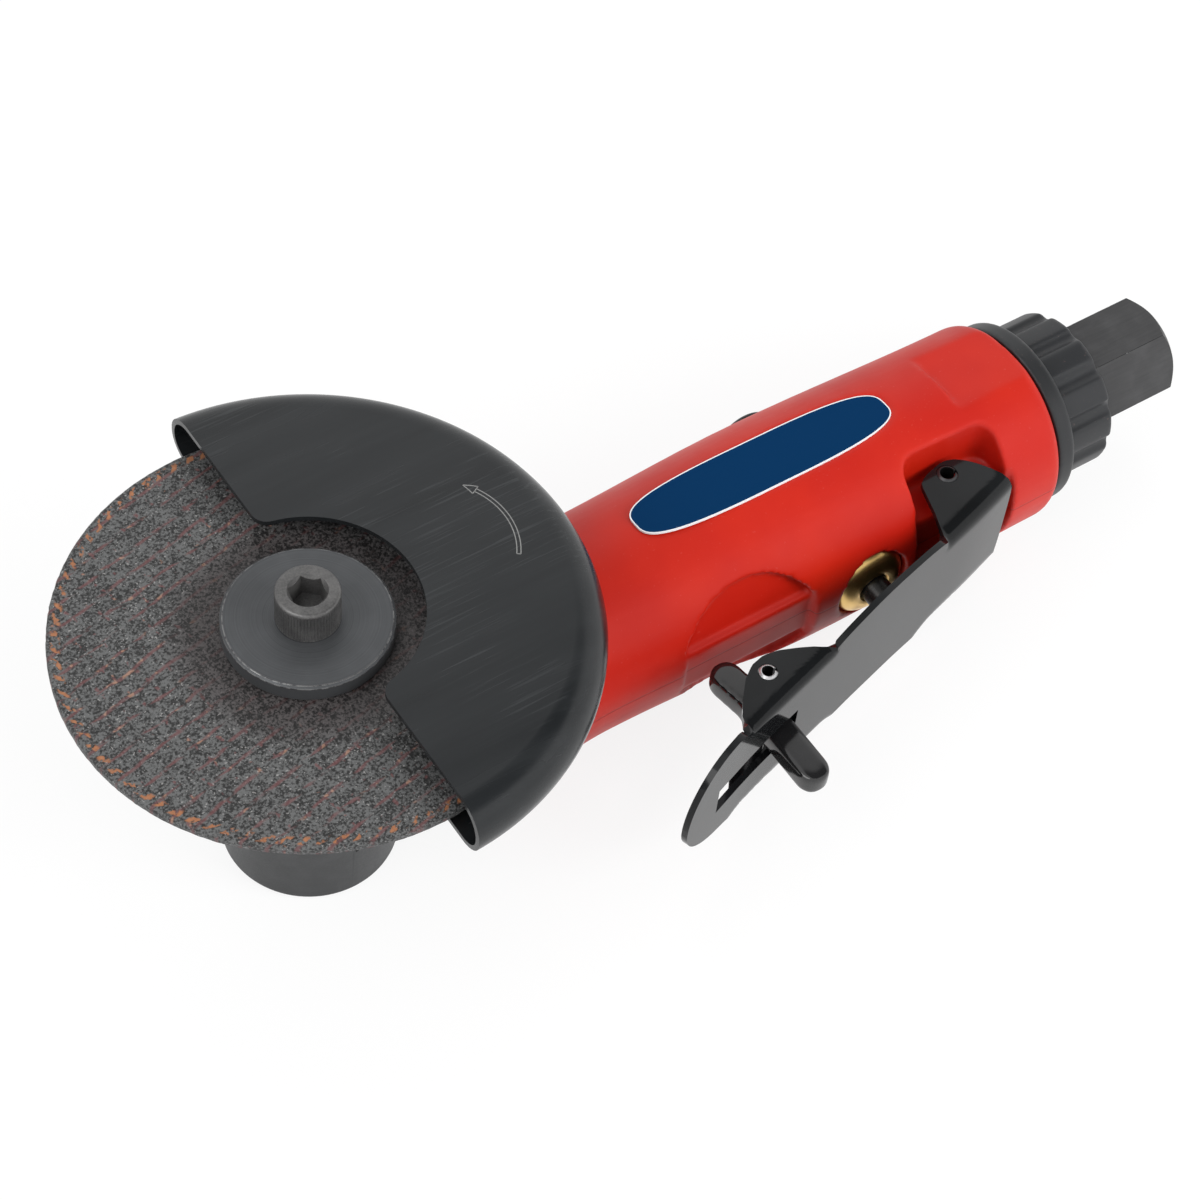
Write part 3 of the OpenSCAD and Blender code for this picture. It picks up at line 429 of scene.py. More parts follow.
@dataclass(frozen=True)
class GlossPaint(Finish):
    """Thick gloss paint with a slight orange peel."""

    colour: Colour
    rough: float
    shine: float
    peel_mm: float = 0.003
    lighter: float = 1.7

    def lay(self, graph: Graph) -> None:
        """Lay the finish.

        Args:
            graph: The material under construction.
        """
        light = tuple(self.lighter * part for part in self.colour)
        shade = graph.blend(graph.ramp(graph.grain(14, 3), 0.35, 0.7), self.colour, light)
        graph.set(
            Base_Color=shade,
            Roughness=graph.span(graph.grain(6, 3), self.rough - 0.03, self.rough + 0.06),
            Specular_IOR_Level=self.shine,
        )
        graph.bump(graph.grain(1.6, 2), self.peel_mm, 0.5)


@dataclass(frozen=True)
class MarkedSteel(Finish):
    """Blackened or bare steel with the marks of its machining."""

    colour: Colour
    light: Colour
    marks: Marks = Marks.BLASTED
    rough: float = 0.4
    metal: float = 0.7
    wear: float = 0.25

    def lay(self, graph: Graph) -> None:
        """Lay the finish.

        Args:
            graph: The material under construction.
        """
        if self.marks is Marks.ROUND_Z:
            across, along, _ = graph.axes(graph.coords())
            reach = graph.times(graph.radius(across, along), MM)
            ring = graph.add("ShaderNodeCombineXYZ", X=reach)
            mark = graph.grain(0.22, 3, ring.outputs[0])
        elif self.marks is Marks.ALONG_X:
            mark = graph.grain(0.4, 3, graph.coords(scale=(0.06, 1, 1)))
        else:
            mark = graph.grain(0.3, 3)
        wear = graph.times(graph.ramp(graph.grain(3.5, 4), 0.40, 0.75), self.wear)
        tone = graph.math("MULTIPLY_ADD", mark, 0.6, wear)
        graph.set(
            Base_Color=graph.blend(tone, self.colour, self.light), Metallic=self.metal,
            Roughness=graph.span(mark, self.rough - 0.10, self.rough + 0.14),
        )
        graph.bump(mark, 0.010, 0.6)
        graph.bump(graph.grain(1.2, 2), 0.02, 0.3)


@dataclass(frozen=True)
class EdgeWearAndHighlight(Finish):
    """Bare metal that shows where an edge has lost its black; the lighter bare colour is also a
    painted edge highlight.
    """

    black: Colour
    bare_and_highlight: Colour
    share: float = 0.55

    def lay(self, graph: Graph) -> None:
        """Lay the finish.

        Args:
            graph: The material under construction.
        """
        # Edge wear and painted edge highlight: chips of the lighter bare colour on the bevelled
        # edges.
        chip = graph.ramp(graph.grain(1.1, 4, rough=0.65), self.share, self.share + 0.12)
        graph.set(
            Base_Color=graph.blend(chip, self.black, self.bare_and_highlight), Metallic=0.6,
            Roughness=graph.span(chip, 0.34, 0.26),
        )
        graph.bump(chip, 0.02, 0.5)


@dataclass(frozen=True)
class TurnedBrass(Finish):
    """Turned brass, dulled in patches."""

    name: str = "turned_brass"
    colour: Colour = (0.80, 0.54, 0.20)
    dull: Colour = (0.40, 0.23, 0.08)

    def lay(self, graph: Graph) -> None:
        """Lay the finish.

        Args:
            graph: The material under construction.
        """
        line = graph.grain(0.25, 3, graph.coords(scale=(0.15, 1, 0.15)))
        stain = graph.ramp(graph.grain(3.2, 2), 0.50, 0.85)
        graph.set(
            Base_Color=graph.blend(stain, self.colour, self.dull), Metallic=1.0,
            Roughness=graph.span(line, 0.24, 0.40),
        )
        graph.bump(line, 0.004, 0.4)


@dataclass(frozen=True)
class BondedAbrasive(Finish):
    """Dark bonded grit over a woven net, with threads that show red, orange at the rim, painted
    glints, and a painted shade round the hub.
    """

    name: str = "bonded_abrasive"
    pitch: float = 3.17
    end_gap: float = 2.7
    turn: float = -14.5
    rim_r: float = 37.5
    grit: Sequence[Colour] = ((0.010, 0.010, 0.010), (0.106, 0.108, 0.108))
    # Darker grit colours for a painted shade round the hub, where the flange and guard cast their
    # shadow.
    hub_shade_grit: Sequence[Colour] = ((0.003, 0.002, 0.002), (0.052, 0.043, 0.043))
    hub_shade_reach: Point = (22.5, 16.0)
    # Colour of painted glints: pale specks that stand in for light caught by the grit.
    spark: Colour = (0.40, 0.39, 0.38)
    thread: Sequence[Colour] = ((0.125, 0.045, 0.046), (0.34, 0.18, 0.12))
    ends: Sequence[Colour] = ((0.17, 0.055, 0.022), (0.42, 0.175, 0.075))
    ends_outer: Point = (0.6, 1.0)
    ends_inner: Point = (2.3, 1.8)

    def lay(self, graph: Graph) -> None:
        """Lay the finish.

        Args:
            graph: The material under construction.
        """
        grit = graph.grain(0.36, 2, rough=0.6)
        clump = graph.grain(1.6, 2)
        mixed = graph.math("MULTIPLY_ADD", grit, 0.78, graph.times(clump, 0.22))
        tone = graph.ramp(mixed, 0.41, 0.59)
        colour = graph.blend(tone, *self.grit)
        # Painted glints: pale specks laid into the grit's colour, in place of light caught by the
        # grains.
        spark = graph.ramp(graph.grain(0.32, 0), 0.74, 0.80)
        colour = graph.blend(graph.times(spark, 0.5), colour, self.spark)
        along, across, _ = graph.axes(graph.coords(turn=(0, 0, self.turn)))
        thread = self.net(graph, along, across)
        dye = graph.blend(graph.ramp(graph.grain(1.1, 1), 0.62, 0.70), *self.thread)
        colour = graph.blend(graph.times(thread, 0.7), colour, dye)
        radius = graph.radius(along, across)
        # Painted shade: the grit darkens towards the hub, in place of the shadow of the flange and
        # guard.
        hub_shade = graph.times(graph.ramp(radius, *self.hub_shade_reach), 0.8)
        colour = graph.blend(hub_shade, colour, graph.blend(tone, *self.hub_shade_grit))
        band = graph.times(*(graph.ramp(radius, self.rim_r - start, self.rim_r - end)
                             for start, end in (self.ends_inner, self.ends_outer)))
        round_rim = graph.times(graph.math("ARCTAN2", across, along), self.rim_r)
        swept = graph.math("ADD", round_rim, radius)
        shifted = graph.math("MULTIPLY_ADD", graph.grain(1.8, 2), 3.2, swept)
        ends = graph.ramp(graph.math("PINGPONG", shifted, self.end_gap / 2), 0.62, 0.34)
        patch = graph.times(ends, graph.ramp(graph.grain(0.7, 1), 0.38, 0.52))
        tint = graph.blend(graph.grain(0.7, 1), *self.ends)
        colour = graph.blend(graph.times(graph.times(band, patch), 0.9), colour, tint)
        graph.set(
            Base_Color=colour, Roughness=graph.span(grit, 0.34, 0.72), Specular_IOR_Level=0.5,
        )
        graph.bump(clump, 0.08, 0.6)
        graph.bump(grit, 0.15, 0.8)

    def net(self, graph: Graph, along: NodeSocket, across: NodeSocket) -> NodeSocket:
        """Threads of the net where they show through.

        Args:
            graph: The material under construction.
            along: Distance along the main threads, in millimetres.
            across: Distance across them.

        Returns:
            One on a thread that shows, and 0 elsewhere.
        """
        drift = graph.math("MULTIPLY_ADD", graph.grain(6, 1), 1.2, -0.6)
        lines = []
        for part in (across, along):
            wave = graph.math("PINGPONG", graph.math("ADD", part, drift), self.pitch / 2)
            lines.append(graph.ramp(wave, 0.42, 0.10))
        stretched = graph.coords(turn=(0, 0, self.turn), scale=(0.25, 1, 1))
        shows = [graph.ramp(graph.grain(0.9, 2, stretched), 0.40, 0.56),
                 graph.ramp(graph.grain(1.3, 2), 0.57, 0.65)]
        return graph.math("MAXIMUM", *[graph.times(*pair) for pair in zip(lines, shows)])


@dataclass(frozen=True)
class PlateFilm(Finish):
    """Printed film of the label plate."""

    colour: Colour

    def lay(self, graph: Graph) -> None:
        """Lay the finish.

        Args:
            graph: The material under construction.
        """
        dot = graph.grain(0.12, 1)
        graph.set(
            Base_Color=graph.blend(dot, tuple(0.9 * part for part in self.colour), self.colour),
            Roughness=graph.span(graph.grain(6, 3), 0.30, 0.42), Specular_IOR_Level=0.03,
        )
        graph.bump(graph.grain(3, 2), 0.01, 0.4)


@dataclass(frozen=True)
class PlainGrain(Finish):
    """Plain finish of an inner piece, with an even grain."""

    colour: Colour
    metal: float
    rough: float

    def lay(self, graph: Graph) -> None:
        """Lay the finish.

        Args:
            graph: The material under construction.
        """
        mark = graph.grain(0.4, 3)
        graph.set(
            Base_Color=graph.blend(mark, tuple(0.7 * part for part in self.colour), self.colour),
            Metallic=self.metal, Roughness=graph.span(mark, self.rough - 0.1, self.rough + 0.1),
        )
        graph.bump(mark, 0.01, 0.5)


# Mesh tools


def box(node: str) -> tuple[Vector, Vector]:
    """Lowest and highest corner of a node, in millimetres."""
    low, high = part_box(node)
    return low / MM, high / MM


def eased(share: float) -> float:
    """Smooth step of a share, which is held between 0 and 1."""
    share = min(max(share, 0.0), 1.0)
    return share * share * (3 - 2 * share)


def stepped(places: Sequence[float], values: Sequence[float], x: float) -> float:
    """Read a row of values that has smooth steps between its places.

    Args:
        places: Falling places of the values.
        values: The values there.
        x: Where to read.

    Returns:
        The value, held at both ends.
    """
    for i in range(len(places) - 1):
        if places[i] >= x >= places[i + 1]:
            share = (places[i] - x) / (places[i] - places[i + 1])
            return values[i] + (values[i + 1] - values[i]) * eased(share)
    return values[0] if x > places[0] else values[-1]


def joined(mesh: BMesh) -> BMesh:
    """Weld a mesh where its points meet, and turn its normals outward.

    Args:
        mesh: The mesh to mend.

    Returns:
        The same mesh.
    """
    bmesh.ops.remove_doubles(mesh, verts=mesh.verts, dist=WELD)
    bmesh.ops.recalc_face_normals(mesh, faces=mesh.faces)
    return mesh


def spun(
    profile: Sequence[Point], axis: Axis, centre: Vector, steps: int, closed: bool = True
) -> BMesh:
    """Turn a solid or an open face from half of its section.

    Args:
        profile: Points of radius and distance along the axis, in millimetres.
        axis: Axis of the turning.
        centre: A point of the axis.
        steps: Facets round the piece.
        closed: Whether the section's ends are joined.

    Returns:
        The turned mesh.
    """
    mesh = bmesh.new()
    verts = [mesh.verts.new(axis.place(radius, along, centre)) for radius, along in profile]
    edges = [mesh.edges.new(pair) for pair in zip(verts, verts[1:])]
    if closed and profile[0][0] > WELD:
        edges.append(mesh.edges.new((verts[-1], verts[0])))
    bmesh.ops.spin(
        mesh, geom=[*verts, *edges], cent=centre, axis=axis.value, angle=FULL_TURN, steps=steps,
        use_merge=True,
    )
    return joined(mesh)


def arc(centre: Point, radius: float, start: float, end: float, steps: int) -> list[Point]:
    """Points of a round stretch of a profile.

    Args:
        centre: Radius and distance of the round's centre.
        radius: Radius of the round.
        start: First angle in degrees.
        end: Last angle in degrees.
        steps: Number of stretches.

    Returns:
        The points from start to end.
    """
    turns = [math.radians(start + (end - start) * i / steps) for i in range(steps + 1)]
    return [(centre[0] + radius * math.cos(t), centre[1] + radius * math.sin(t)) for t in turns]


def object_from(name: str, mesh: BMesh) -> Object:
    """Make an object of a mesh and free the mesh.

    Args:
        name: Name of the object.
        mesh: The mesh, which is used up.

    Returns:
        The object, linked to the scene.
    """
    data = bpy.data.meshes.new(name)
    mesh.to_mesh(data)
    mesh.free()
    return placed(name, data)


def placed(name: str, data: bpy.types.ID) -> Object:
    """Link a new object with its data to the scene.

    Args:
        name: Name of the object.
        data: Its mesh, camera or lamp.

    Returns:
        The object.
    """
    made = bpy.data.objects.new(name, data)
    bpy.context.scene.collection.objects.link(made)
    return made


def evaluated(made: Object) -> BMesh:
    """Take an object's mesh with its modifiers applied, and remove the object.

    Args:
        made: The object, which is used up.

    Returns:
        The mesh as modified.
    """
    graph = bpy.context.evaluated_depsgraph_get()
    mesh = bmesh.new()
    mesh.from_object(made, graph)
    data = made.data
    bpy.data.objects.remove(made)
    bpy.data.meshes.remove(data)
    return mesh


def softened(mesh: BMesh, grid: float, passes: int) -> BMesh:
    """Rebuild a solid on an even grid and ease its edges, as a mould does.

    Args:
        mesh: Closed solids, which may overlap.
        grid: Size of the grid in millimetres.
        passes: Passes of smoothing.

    Returns:
        The eased outer skin.
    """
    rough = object_from("rough", mesh)
    even = rough.modifiers.new("even", "REMESH")
    even.mode = "VOXEL"
    even.voxel_size = grid
    skin = evaluated(rough)
    for _ in range(passes):
        bmesh.ops.smooth_vert(
            skin, verts=skin.verts, factor=SMOOTHING, use_axis_x=True, use_axis_y=True,
            use_axis_z=True,
        )
    return largest(skin)


def largest(mesh: BMesh) -> BMesh:
    """Keep the largest connected skin of a mesh.

    Args:
        mesh: Skins, of which all but one are deleted.

    Returns:
        The same mesh.
    """
    waiting = set(mesh.verts)
    groups = []
    while waiting:
        group, edge = set(), [waiting.pop()]
        while edge:
            vert = edge.pop()
            group.add(vert)
            for link in vert.link_edges:
                other = link.other_vert(vert)
                if other in waiting:
                    waiting.discard(other)
                    edge.append(other)
        groups.append(group)
    groups.sort(key=len)
    for group in groups[:-1]:
        bmesh.ops.delete(mesh, geom=list(group), context="VERTS")
    return mesh


def cut(mesh: BMesh, tools: Sequence[BMesh]) -> BMesh:
    """Cut solids out of a solid.

    Args:
        mesh: The solid to cut.
        tools: The solids to take away.

    Returns:
        What is left.
    """
    stock = object_from("stock", mesh)
    cutters = [object_from(f"cutter_{i}", tool) for i, tool in enumerate(tools)]
    for cutter in cutters:
        step = stock.modifiers.new("cut", "BOOLEAN")
        step.operation = "DIFFERENCE"
        step.solver = "MANIFOLD"
        step.object = cutter
    left = evaluated(stock)
    for cutter in cutters:
        bpy.data.objects.remove(cutter)
    return left


def turned_out(mesh: BMesh, way: Vector) -> None:
    """Turn the normals of a sheet so that its furthest face looks outward.

    Args:
        mesh: The sheet.
        way: Direction in which the furthest face is looked for.
    """
    bmesh.ops.recalc_face_normals(mesh, faces=mesh.faces)
    last = max(mesh.faces, key=lambda face: face.calc_center_median().dot(way))
    if last.normal.dot(way) < 0:
        bmesh.ops.reverse_faces(mesh, faces=mesh.faces)


def walled(mesh: BMesh, thickness: float, even: bool) -> BMesh:
    """Give a sheet its thickness, inward from its outer face.

    Args:
        mesh: The outer face, which is used up.
        thickness: Thickness of the sheet.
        even: Whether the thickness is kept round bends.

    Returns:
        The sheet's solid.
    """
    shell = object_from("shell", mesh)
    wall = shell.modifiers.new("wall", "SOLIDIFY")
    wall.thickness, wall.offset, wall.use_even_offset = thickness, -1, even
    return evaluated(shell)


def rod(
    radius: float, low: Vector, high: Vector, sides: int = 48, top: float | None = None
) -> BMesh:
    """A closed rod or cone between two points.

    Args:
        radius: Radius at the low end.
        low: Centre of the low end.
        high: Centre of the high end.
        sides: Sides of the rod.
        top: Radius at the high end, or None for the same radius.

    Returns:
        The rod.
    """
    mesh = bmesh.new()
    span = high - low
    turn = span.to_track_quat("Z", "Y").to_matrix().to_4x4()
    bmesh.ops.create_cone(
        mesh, cap_ends=True, segments=sides, radius1=radius, radius2=radius if top is None else top,
        depth=span.length, matrix=Matrix.Translation((low + high) / 2) @ turn,
    )
    return mesh


@dataclass
class Piece:
    """A finished piece and what it stands for."""

    name: str
    mesh: BMesh
    body: Body
    slot: str
    materials: Sequence[Material]
    nodes: Sequence[str] = ()
    edge: float = 0.0
    edge_angle: float = 38.0
    edge_material: int = -1
    crease: float = 32.0

    def finish(self) -> Object:
        """Bring the piece to metres, dress it and hang it on its body.

        Returns:
            The piece's object.
        """
        self.mesh.transform(Matrix.Scale(MM, 4))
        made = object_from(self.name, self.mesh)
        for material in self.materials:
            made.data.materials.append(material)
        made.data.shade_smooth()
        made.data.set_sharp_from_angle(angle=math.radians(self.crease))
        if self.edge:
            bevel = made.modifiers.new("edges", "BEVEL")
            bevel.width = self.edge * MM
            bevel.segments = EDGE_STEPS
            bevel.limit_method = "ANGLE"
            bevel.angle_limit = math.radians(self.edge_angle)
            # Where an edge material is given, the bevel's faces take it: edge wear with a painted
            # edge highlight.
            bevel.material = self.edge_material
            bevel.harden_normals = True
        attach(made, self.body.value)
        if self.nodes:
            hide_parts(*self.nodes)
        log.info("%s: %d faces", self.name, len(made.data.polygons))
        return made


# Sub-assemblies


@dataclass
class Assembly:
    """A sub-assembly of the tool, with the frame that its pieces are taken from."""

    frame: dict

    def build(self) -> None:
        """Model and dress the pieces, in each sub-assembly's own way."""
        raise NotImplementedError

    def copied(self, node: str) -> BMesh:
        """Copy a node's mesh, in millimetres, with its loose triangles joined.

        Args:
            node: Name of the node.

        Returns:
            The welded copy.
        """
        mesh = bmesh.new()
        mesh.from_mesh(self.frame["nodes"][node].data)
        mesh.transform(Matrix.Scale(1 / MM, 4))
        bmesh.ops.remove_doubles(mesh, verts=mesh.verts, dist=WELD)
        bmesh.ops.dissolve_degenerate(mesh, edges=mesh.edges, dist=WELD)
        bmesh.ops.dissolve_limit(
            mesh, angle_limit=math.radians(FLAT_ANGLE), verts=mesh.verts, edges=mesh.edges
        )
        return mesh


@dataclass
class Guard(Assembly):
    """The rolled half cover over the disc, and the arrow on it."""

    notch_r: float = 17.0
    corner_r: float = 2.6
    top_edge: float = 5.2
    bottom_edge: float = 4.0
    hole_r: float = 13.3
    sheet: float = 0.9
    steps: int = 192
    top_steps: int = 10
    bottom_steps: int = 8
    corner_steps: int = 8
    notch_steps: int = 48
    rim: float = 0.25
    arrow_x: float = 21.3
    arrow_y: float = 0.5
    arrow_r: float = 12.6
    arrow_from: float = -36.0
    arrow_to: float = 28.0
    arrow_w: float = 0.6
    arrow_line: float = 0.15
    arrow_head: float = 1.05
    head_share: float = 0.75
    stroke_steps: int = 24
    arrow_lift: float = 0.03

    def build(self) -> None:
        """Model and dress the guard."""
        low, high = box("wheel_guard")
        paint = StreakedPaint("guard_black", (0.005, 0.006, 0.007), (0.036, 0.039, 0.041)).make()
        edge_wear_and_highlight = EdgeWearAndHighlight("guard_worn_edge", (0.008, 0.009, 0.010), (0.055, 0.056, 0.058)).make()
        Piece("guard", self.sheet_metal(low, high), Body.HOUSING, "guard_black", [paint, edge_wear_and_highlight],
              ["wheel_guard"], self.rim, edge_angle=45, edge_material=1).finish()
        ink = PlainGrain("arrow_ink", (0.26, 0.26, 0.255), metal=0.0, rough=0.55).make()
        Piece("guard_arrow", self.arrow(high.z), Body.HOUSING, "guard_black", [ink]).finish()

    def sheet_metal(self, low: Vector, high: Vector) -> BMesh:
        """Spin the outer face, cut it straight, round its corners and give it thickness.

        Args:
            low: Lowest corner of the guard's box.
            high: Highest corner of the guard's box.

        Returns:
            The guard's solid.
        """
        outer = high.y
        upper, lower = self.top_edge, self.bottom_edge
        profile = arc((outer - upper, high.z - upper), upper, 90, 0, self.top_steps)
        profile += arc((outer - lower, low.z + lower), lower, 0, -90, self.bottom_steps)
        profile += [(self.hole_r, low.z)]
        mesh = spun(profile, Axis.Z, Vector(), self.steps, closed=False)
        bmesh.ops.bisect_plane(
            mesh, geom=[*mesh.verts, *mesh.edges, *mesh.faces], dist=WELD,
            plane_co=(low.x, 0, 0), plane_no=(-1, 0, 0), clear_outer=True,
        )
        ring = [vert for vert in mesh.verts if vert.co.z > high.z - WELD]
        ring.sort(key=lambda vert: math.atan2(vert.co.y, vert.co.x))
        inside = [mesh.verts.new((x, y, high.z)) for x, y in self.notch(low.x)]
        top = mesh.faces.new([*ring, *inside])
        top.normal_update()
        bmesh.ops.triangulate(mesh, faces=[top], ngon_method="EAR_CLIP")
        turned_out(mesh, Vector(Axis.Z.value))
        return walled(mesh, self.sheet, True)

    def notch(self, edge_x: float) -> list[Point]:
        """Outline of the notch, with its two corners rounded.

        Args:
            edge_x: Place of the straight edge.

        Returns:
            Points from the far corner round to the near one.
        """
        middle_x = edge_x + self.corner_r
        middle_y = math.sqrt((self.notch_r + self.corner_r) ** 2 - middle_x ** 2)
        lean = math.degrees(math.atan2(middle_y, middle_x))
        corner = arc((middle_x, middle_y), self.corner_r, 180, 180 + lean, self.corner_steps)
        inner = arc((0, 0), self.notch_r, lean, -lean, self.notch_steps)
        near = [(x, -y) for x, y in reversed(corner)]
        return corner + inner[1:-1] + near

    def arrow(self, top: float) -> BMesh:
        """Lay a thin outlined arrow on the guard's top.

        Args:
            top: Height of the guard's top face.

        Returns:
            The arrow's thin mesh.
        """
        mesh = bmesh.new()
        half, wide = self.arrow_w / 2, self.arrow_head * self.head_share
        rear, front = self.arrow_from, self.arrow_to
        tip = front + math.degrees(2 * self.arrow_head / self.arrow_r)
        strokes = [
            (-half, -half, rear, front), (half, half, rear, front), (-half, half, rear, rear),
            (-wide, 0, front, tip), (wide, 0, front, tip), (-wide, wide, front, front),
        ]
        for first, last, start, end in strokes:
            self.stroke(mesh, top, self.arrow_r + first, self.arrow_r + last, start, end)
        return mesh

    def stroke(
        self, mesh: BMesh, top: float, from_r: float, to_r: float, start: float, end: float,
    ) -> None:
        """Add one line of the arrow.

        Args:
            mesh: The arrow's mesh.
            top: Height of the guard's top face.
            from_r: Radius at the start.
            to_r: Radius at the end.
            start: First angle in degrees.
            end: Last angle in degrees.
        """
        steps = self.stroke_steps
        path = []
        for i in range(steps + 1):
            turn = math.radians(start + (end - start) * i / steps)
            radius = from_r + (to_r - from_r) * i / steps
            path.append(Vector((self.arrow_x + radius * math.cos(turn),
                                self.arrow_y + radius * math.sin(turn), top + self.arrow_lift)))
        half = self.arrow_line / 2
        first = None
        for i, here in enumerate(path):
            ahead = path[min(i + 1, steps)] - path[max(i - 1, 0)]
            side = Vector((-ahead.y, ahead.x, 0)).normalized() * half
            pair = [mesh.verts.new(here - side), mesh.verts.new(here + side)]
            if first:
                mesh.faces.new((first[0], pair[0], pair[1], first[1]))
            first = pair
        bmesh.ops.recalc_face_normals(mesh, faces=mesh.faces)


@dataclass
class DiscStack(Assembly):
    """The cutting disc with its flanges and clamp screw."""

    rings: int = 62
    steps: int = 360
    back_skip: int = 4
    relief: float = 0.07
    rim_relief: float = 0.12
    disc_edge: float = 0.25
    hub_gap: float = 2.0
    grit_waves: Sequence[Point] = ((1.3, 0.6), (3.1, 0.4))
    flange_edge: float = 0.4
    flange_lead: float = 0.15
    flange_steps: int = 160
    bore_r: float = 3.0
    knurls: int = 64
    knurl_depth: float = 0.16
    key_r: float = 2.887
    key_t: float = 4.2
    key_lead: float = 0.35
    key_turn: float = 50.0
    key_over: float = 1.0
    head_edge: float = 0.55
    head_lead: float = 0.2
    knurl_gaps: Point = (0.5, 0.45)

    def build(self) -> None:
        """Model and dress the disc and what clamps it."""
        low, high = box("cutting_disc")
        grit = BondedAbrasive(rim_r=high.x).make()
        Piece("cutting_disc_grit", self.disc(low, high), Body.SPINDLE, "abrasive", [grit],
              ["cutting_disc"], crease=60).finish()
        turned = MarkedSteel("flange_turned_black", (0.035, 0.037, 0.040), (0.150, 0.156, 0.163),
                             Marks.ROUND_Z, rough=0.42, metal=0.45, wear=0.06).make()
        edge_wear_and_highlight = EdgeWearAndHighlight("flange_worn_edge", (0.06, 0.06, 0.063), (0.17, 0.17, 0.17),
                        share=0.42).make()
        Piece("outer_flange_turned", self.flange(), Body.SPINDLE, "dark_steel", [turned, edge_wear_and_highlight],
              ["outer_flange"], edge=0.15, edge_angle=40, edge_material=1).finish()
        oxide = MarkedSteel("screw_black", (0.040, 0.040, 0.041), (0.24, 0.235, 0.23),
                            rough=0.36, metal=0.55).make()
        Piece("clamp_screw_knurled", self.screw(), Body.SPINDLE, "dark_steel", [oxide, edge_wear_and_highlight],
              ["clamp_screw"], edge=0.12, edge_angle=40, edge_material=1).finish()
        Piece("inner_flange_turned", self.copied("inner_flange"), Body.SPINDLE, "dark_steel",
              [turned], ["inner_flange"], edge=0.2).finish()

    def disc(self, low: Vector, high: Vector) -> BMesh:
        """Spin the disc with many rings and roughen its faces and rim.

        Args:
            low: Lowest corner of the disc.
            high: Highest corner of the disc.

        Returns:
            The disc's solid.
        """
        rim = high.x - self.rim_relief
        inside, edge = self.bore_r + self.hub_gap, self.disc_edge
        reach = [inside + (rim - inside) * i / self.rings for i in range(self.rings + 1)]
        top, bottom = high.z - self.relief, low.z + self.relief
        middle = (top + bottom) / 2
        profile = [(radius, top) for radius in reach[:-1]]
        profile += [(rim - edge, top), (rim, top - edge), (rim, middle), (rim, bottom + edge)]
        profile.append((rim - edge, bottom))
        profile += [(radius, bottom) for radius in reach[-2::-self.back_skip]]
        if profile[-1][0] > inside + WELD:
            profile.append((inside, bottom))
        mesh = spun(profile, Axis.Z, Vector(), self.steps)
        for vert in mesh.verts:
            grain = sum(noise.noise(vert.co * wave) * part for wave, part in self.grit_waves)
            if abs(vert.co.z - top) < WELD or abs(vert.co.z - bottom) < WELD:
                vert.co.z += self.relief * grain
            else:
                vert.co.xy *= 1 + self.rim_relief * grain / rim
        return mesh

    def flange(self) -> BMesh:
        """Turn the outer flange.

        Returns:
            The flange's solid.
        """
        low, high = box("outer_flange")
        rim = high.x
        profile = [
            (self.bore_r, low.z), (rim - self.flange_lead, low.z), (rim, low.z + self.flange_lead),
            (rim, high.z - self.flange_edge), (rim - self.flange_edge, high.z),
            (self.bore_r, high.z),
        ]
        return spun(profile, Axis.Z, Vector(), self.flange_steps)

    def screw(self) -> BMesh:
        """Turn the clamp screw, knurl its head and sink its hexagon socket.

        Returns:
            The screw's solid.
        """
        low, high = box("clamp_screw")
        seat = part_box("outer_flange")[1].z / MM
        head, lead, crown = high.x, self.head_lead, high.z - self.head_edge
        knurl = (seat + self.knurl_gaps[0], crown - self.knurl_gaps[1])
        profile = [
            (0, low.z), (self.bore_r, low.z), (self.bore_r, seat), (head - lead, seat),
            (head, seat + lead), (head, knurl[0]), (head, knurl[1]), (head, crown),
            *arc((head - self.head_edge, crown), self.head_edge, 30, 90, 3),
            (0, high.z),
        ]
        mesh = spun(profile, Axis.Z, Vector(), self.knurls * 4)
        for vert in mesh.verts:
            on_knurl = any(abs(vert.co.z - level) < WELD for level in knurl)
            if on_knurl and vert.co.xy.length > head - WELD:
                turn = math.atan2(vert.co.y, vert.co.x) * self.knurls
                vert.co.xy *= 1 - self.knurl_depth * (0.5 - 0.5 * math.cos(turn)) / head
        key = rod(self.key_r, Vector((0, 0, high.z - self.key_t)),
                  Vector((0, 0, high.z + self.key_over)), HEXAGON)
        turn = Matrix.Rotation(math.radians(self.key_turn), 3, "Z")
        bmesh.ops.rotate(key, cent=(0, 0, 0), matrix=turn, verts=key.verts)
        mouth = rod(self.key_r - self.key_lead, Vector((0, 0, high.z - 2 * self.key_lead)),
                    Vector((0, 0, high.z + self.key_lead)), top=self.key_r + self.key_lead)
        return cut(mesh, [key, mouth])


@dataclass
class Head(Assembly):
    """The angle head with its ring and screws."""

    def build(self) -> None:
        """Dress the head's pieces."""
        black = MarkedSteel("head_black", (0.018, 0.019, 0.020), (0.055, 0.057, 0.060),
                            rough=0.48, metal=0.3).make()
        steel = MarkedSteel("fastener_black", (0.03, 0.03, 0.03), (0.12, 0.12, 0.12)).make()
        Piece("angle_head_cast", self.copied("angle_head"), Body.HOUSING, "head_black", [black],
              ["angle_head"]).finish()
        Piece("head_lock_ring_turned", self.copied("head_lock_ring"), Body.HOUSING, "dark_steel",
              [steel], ["head_lock_ring"]).finish()
        Piece("guard_screws_black", self.copied("guard_screws"), Body.HOUSING, "dark_steel",
              [steel], ["guard_screws"]).finish()


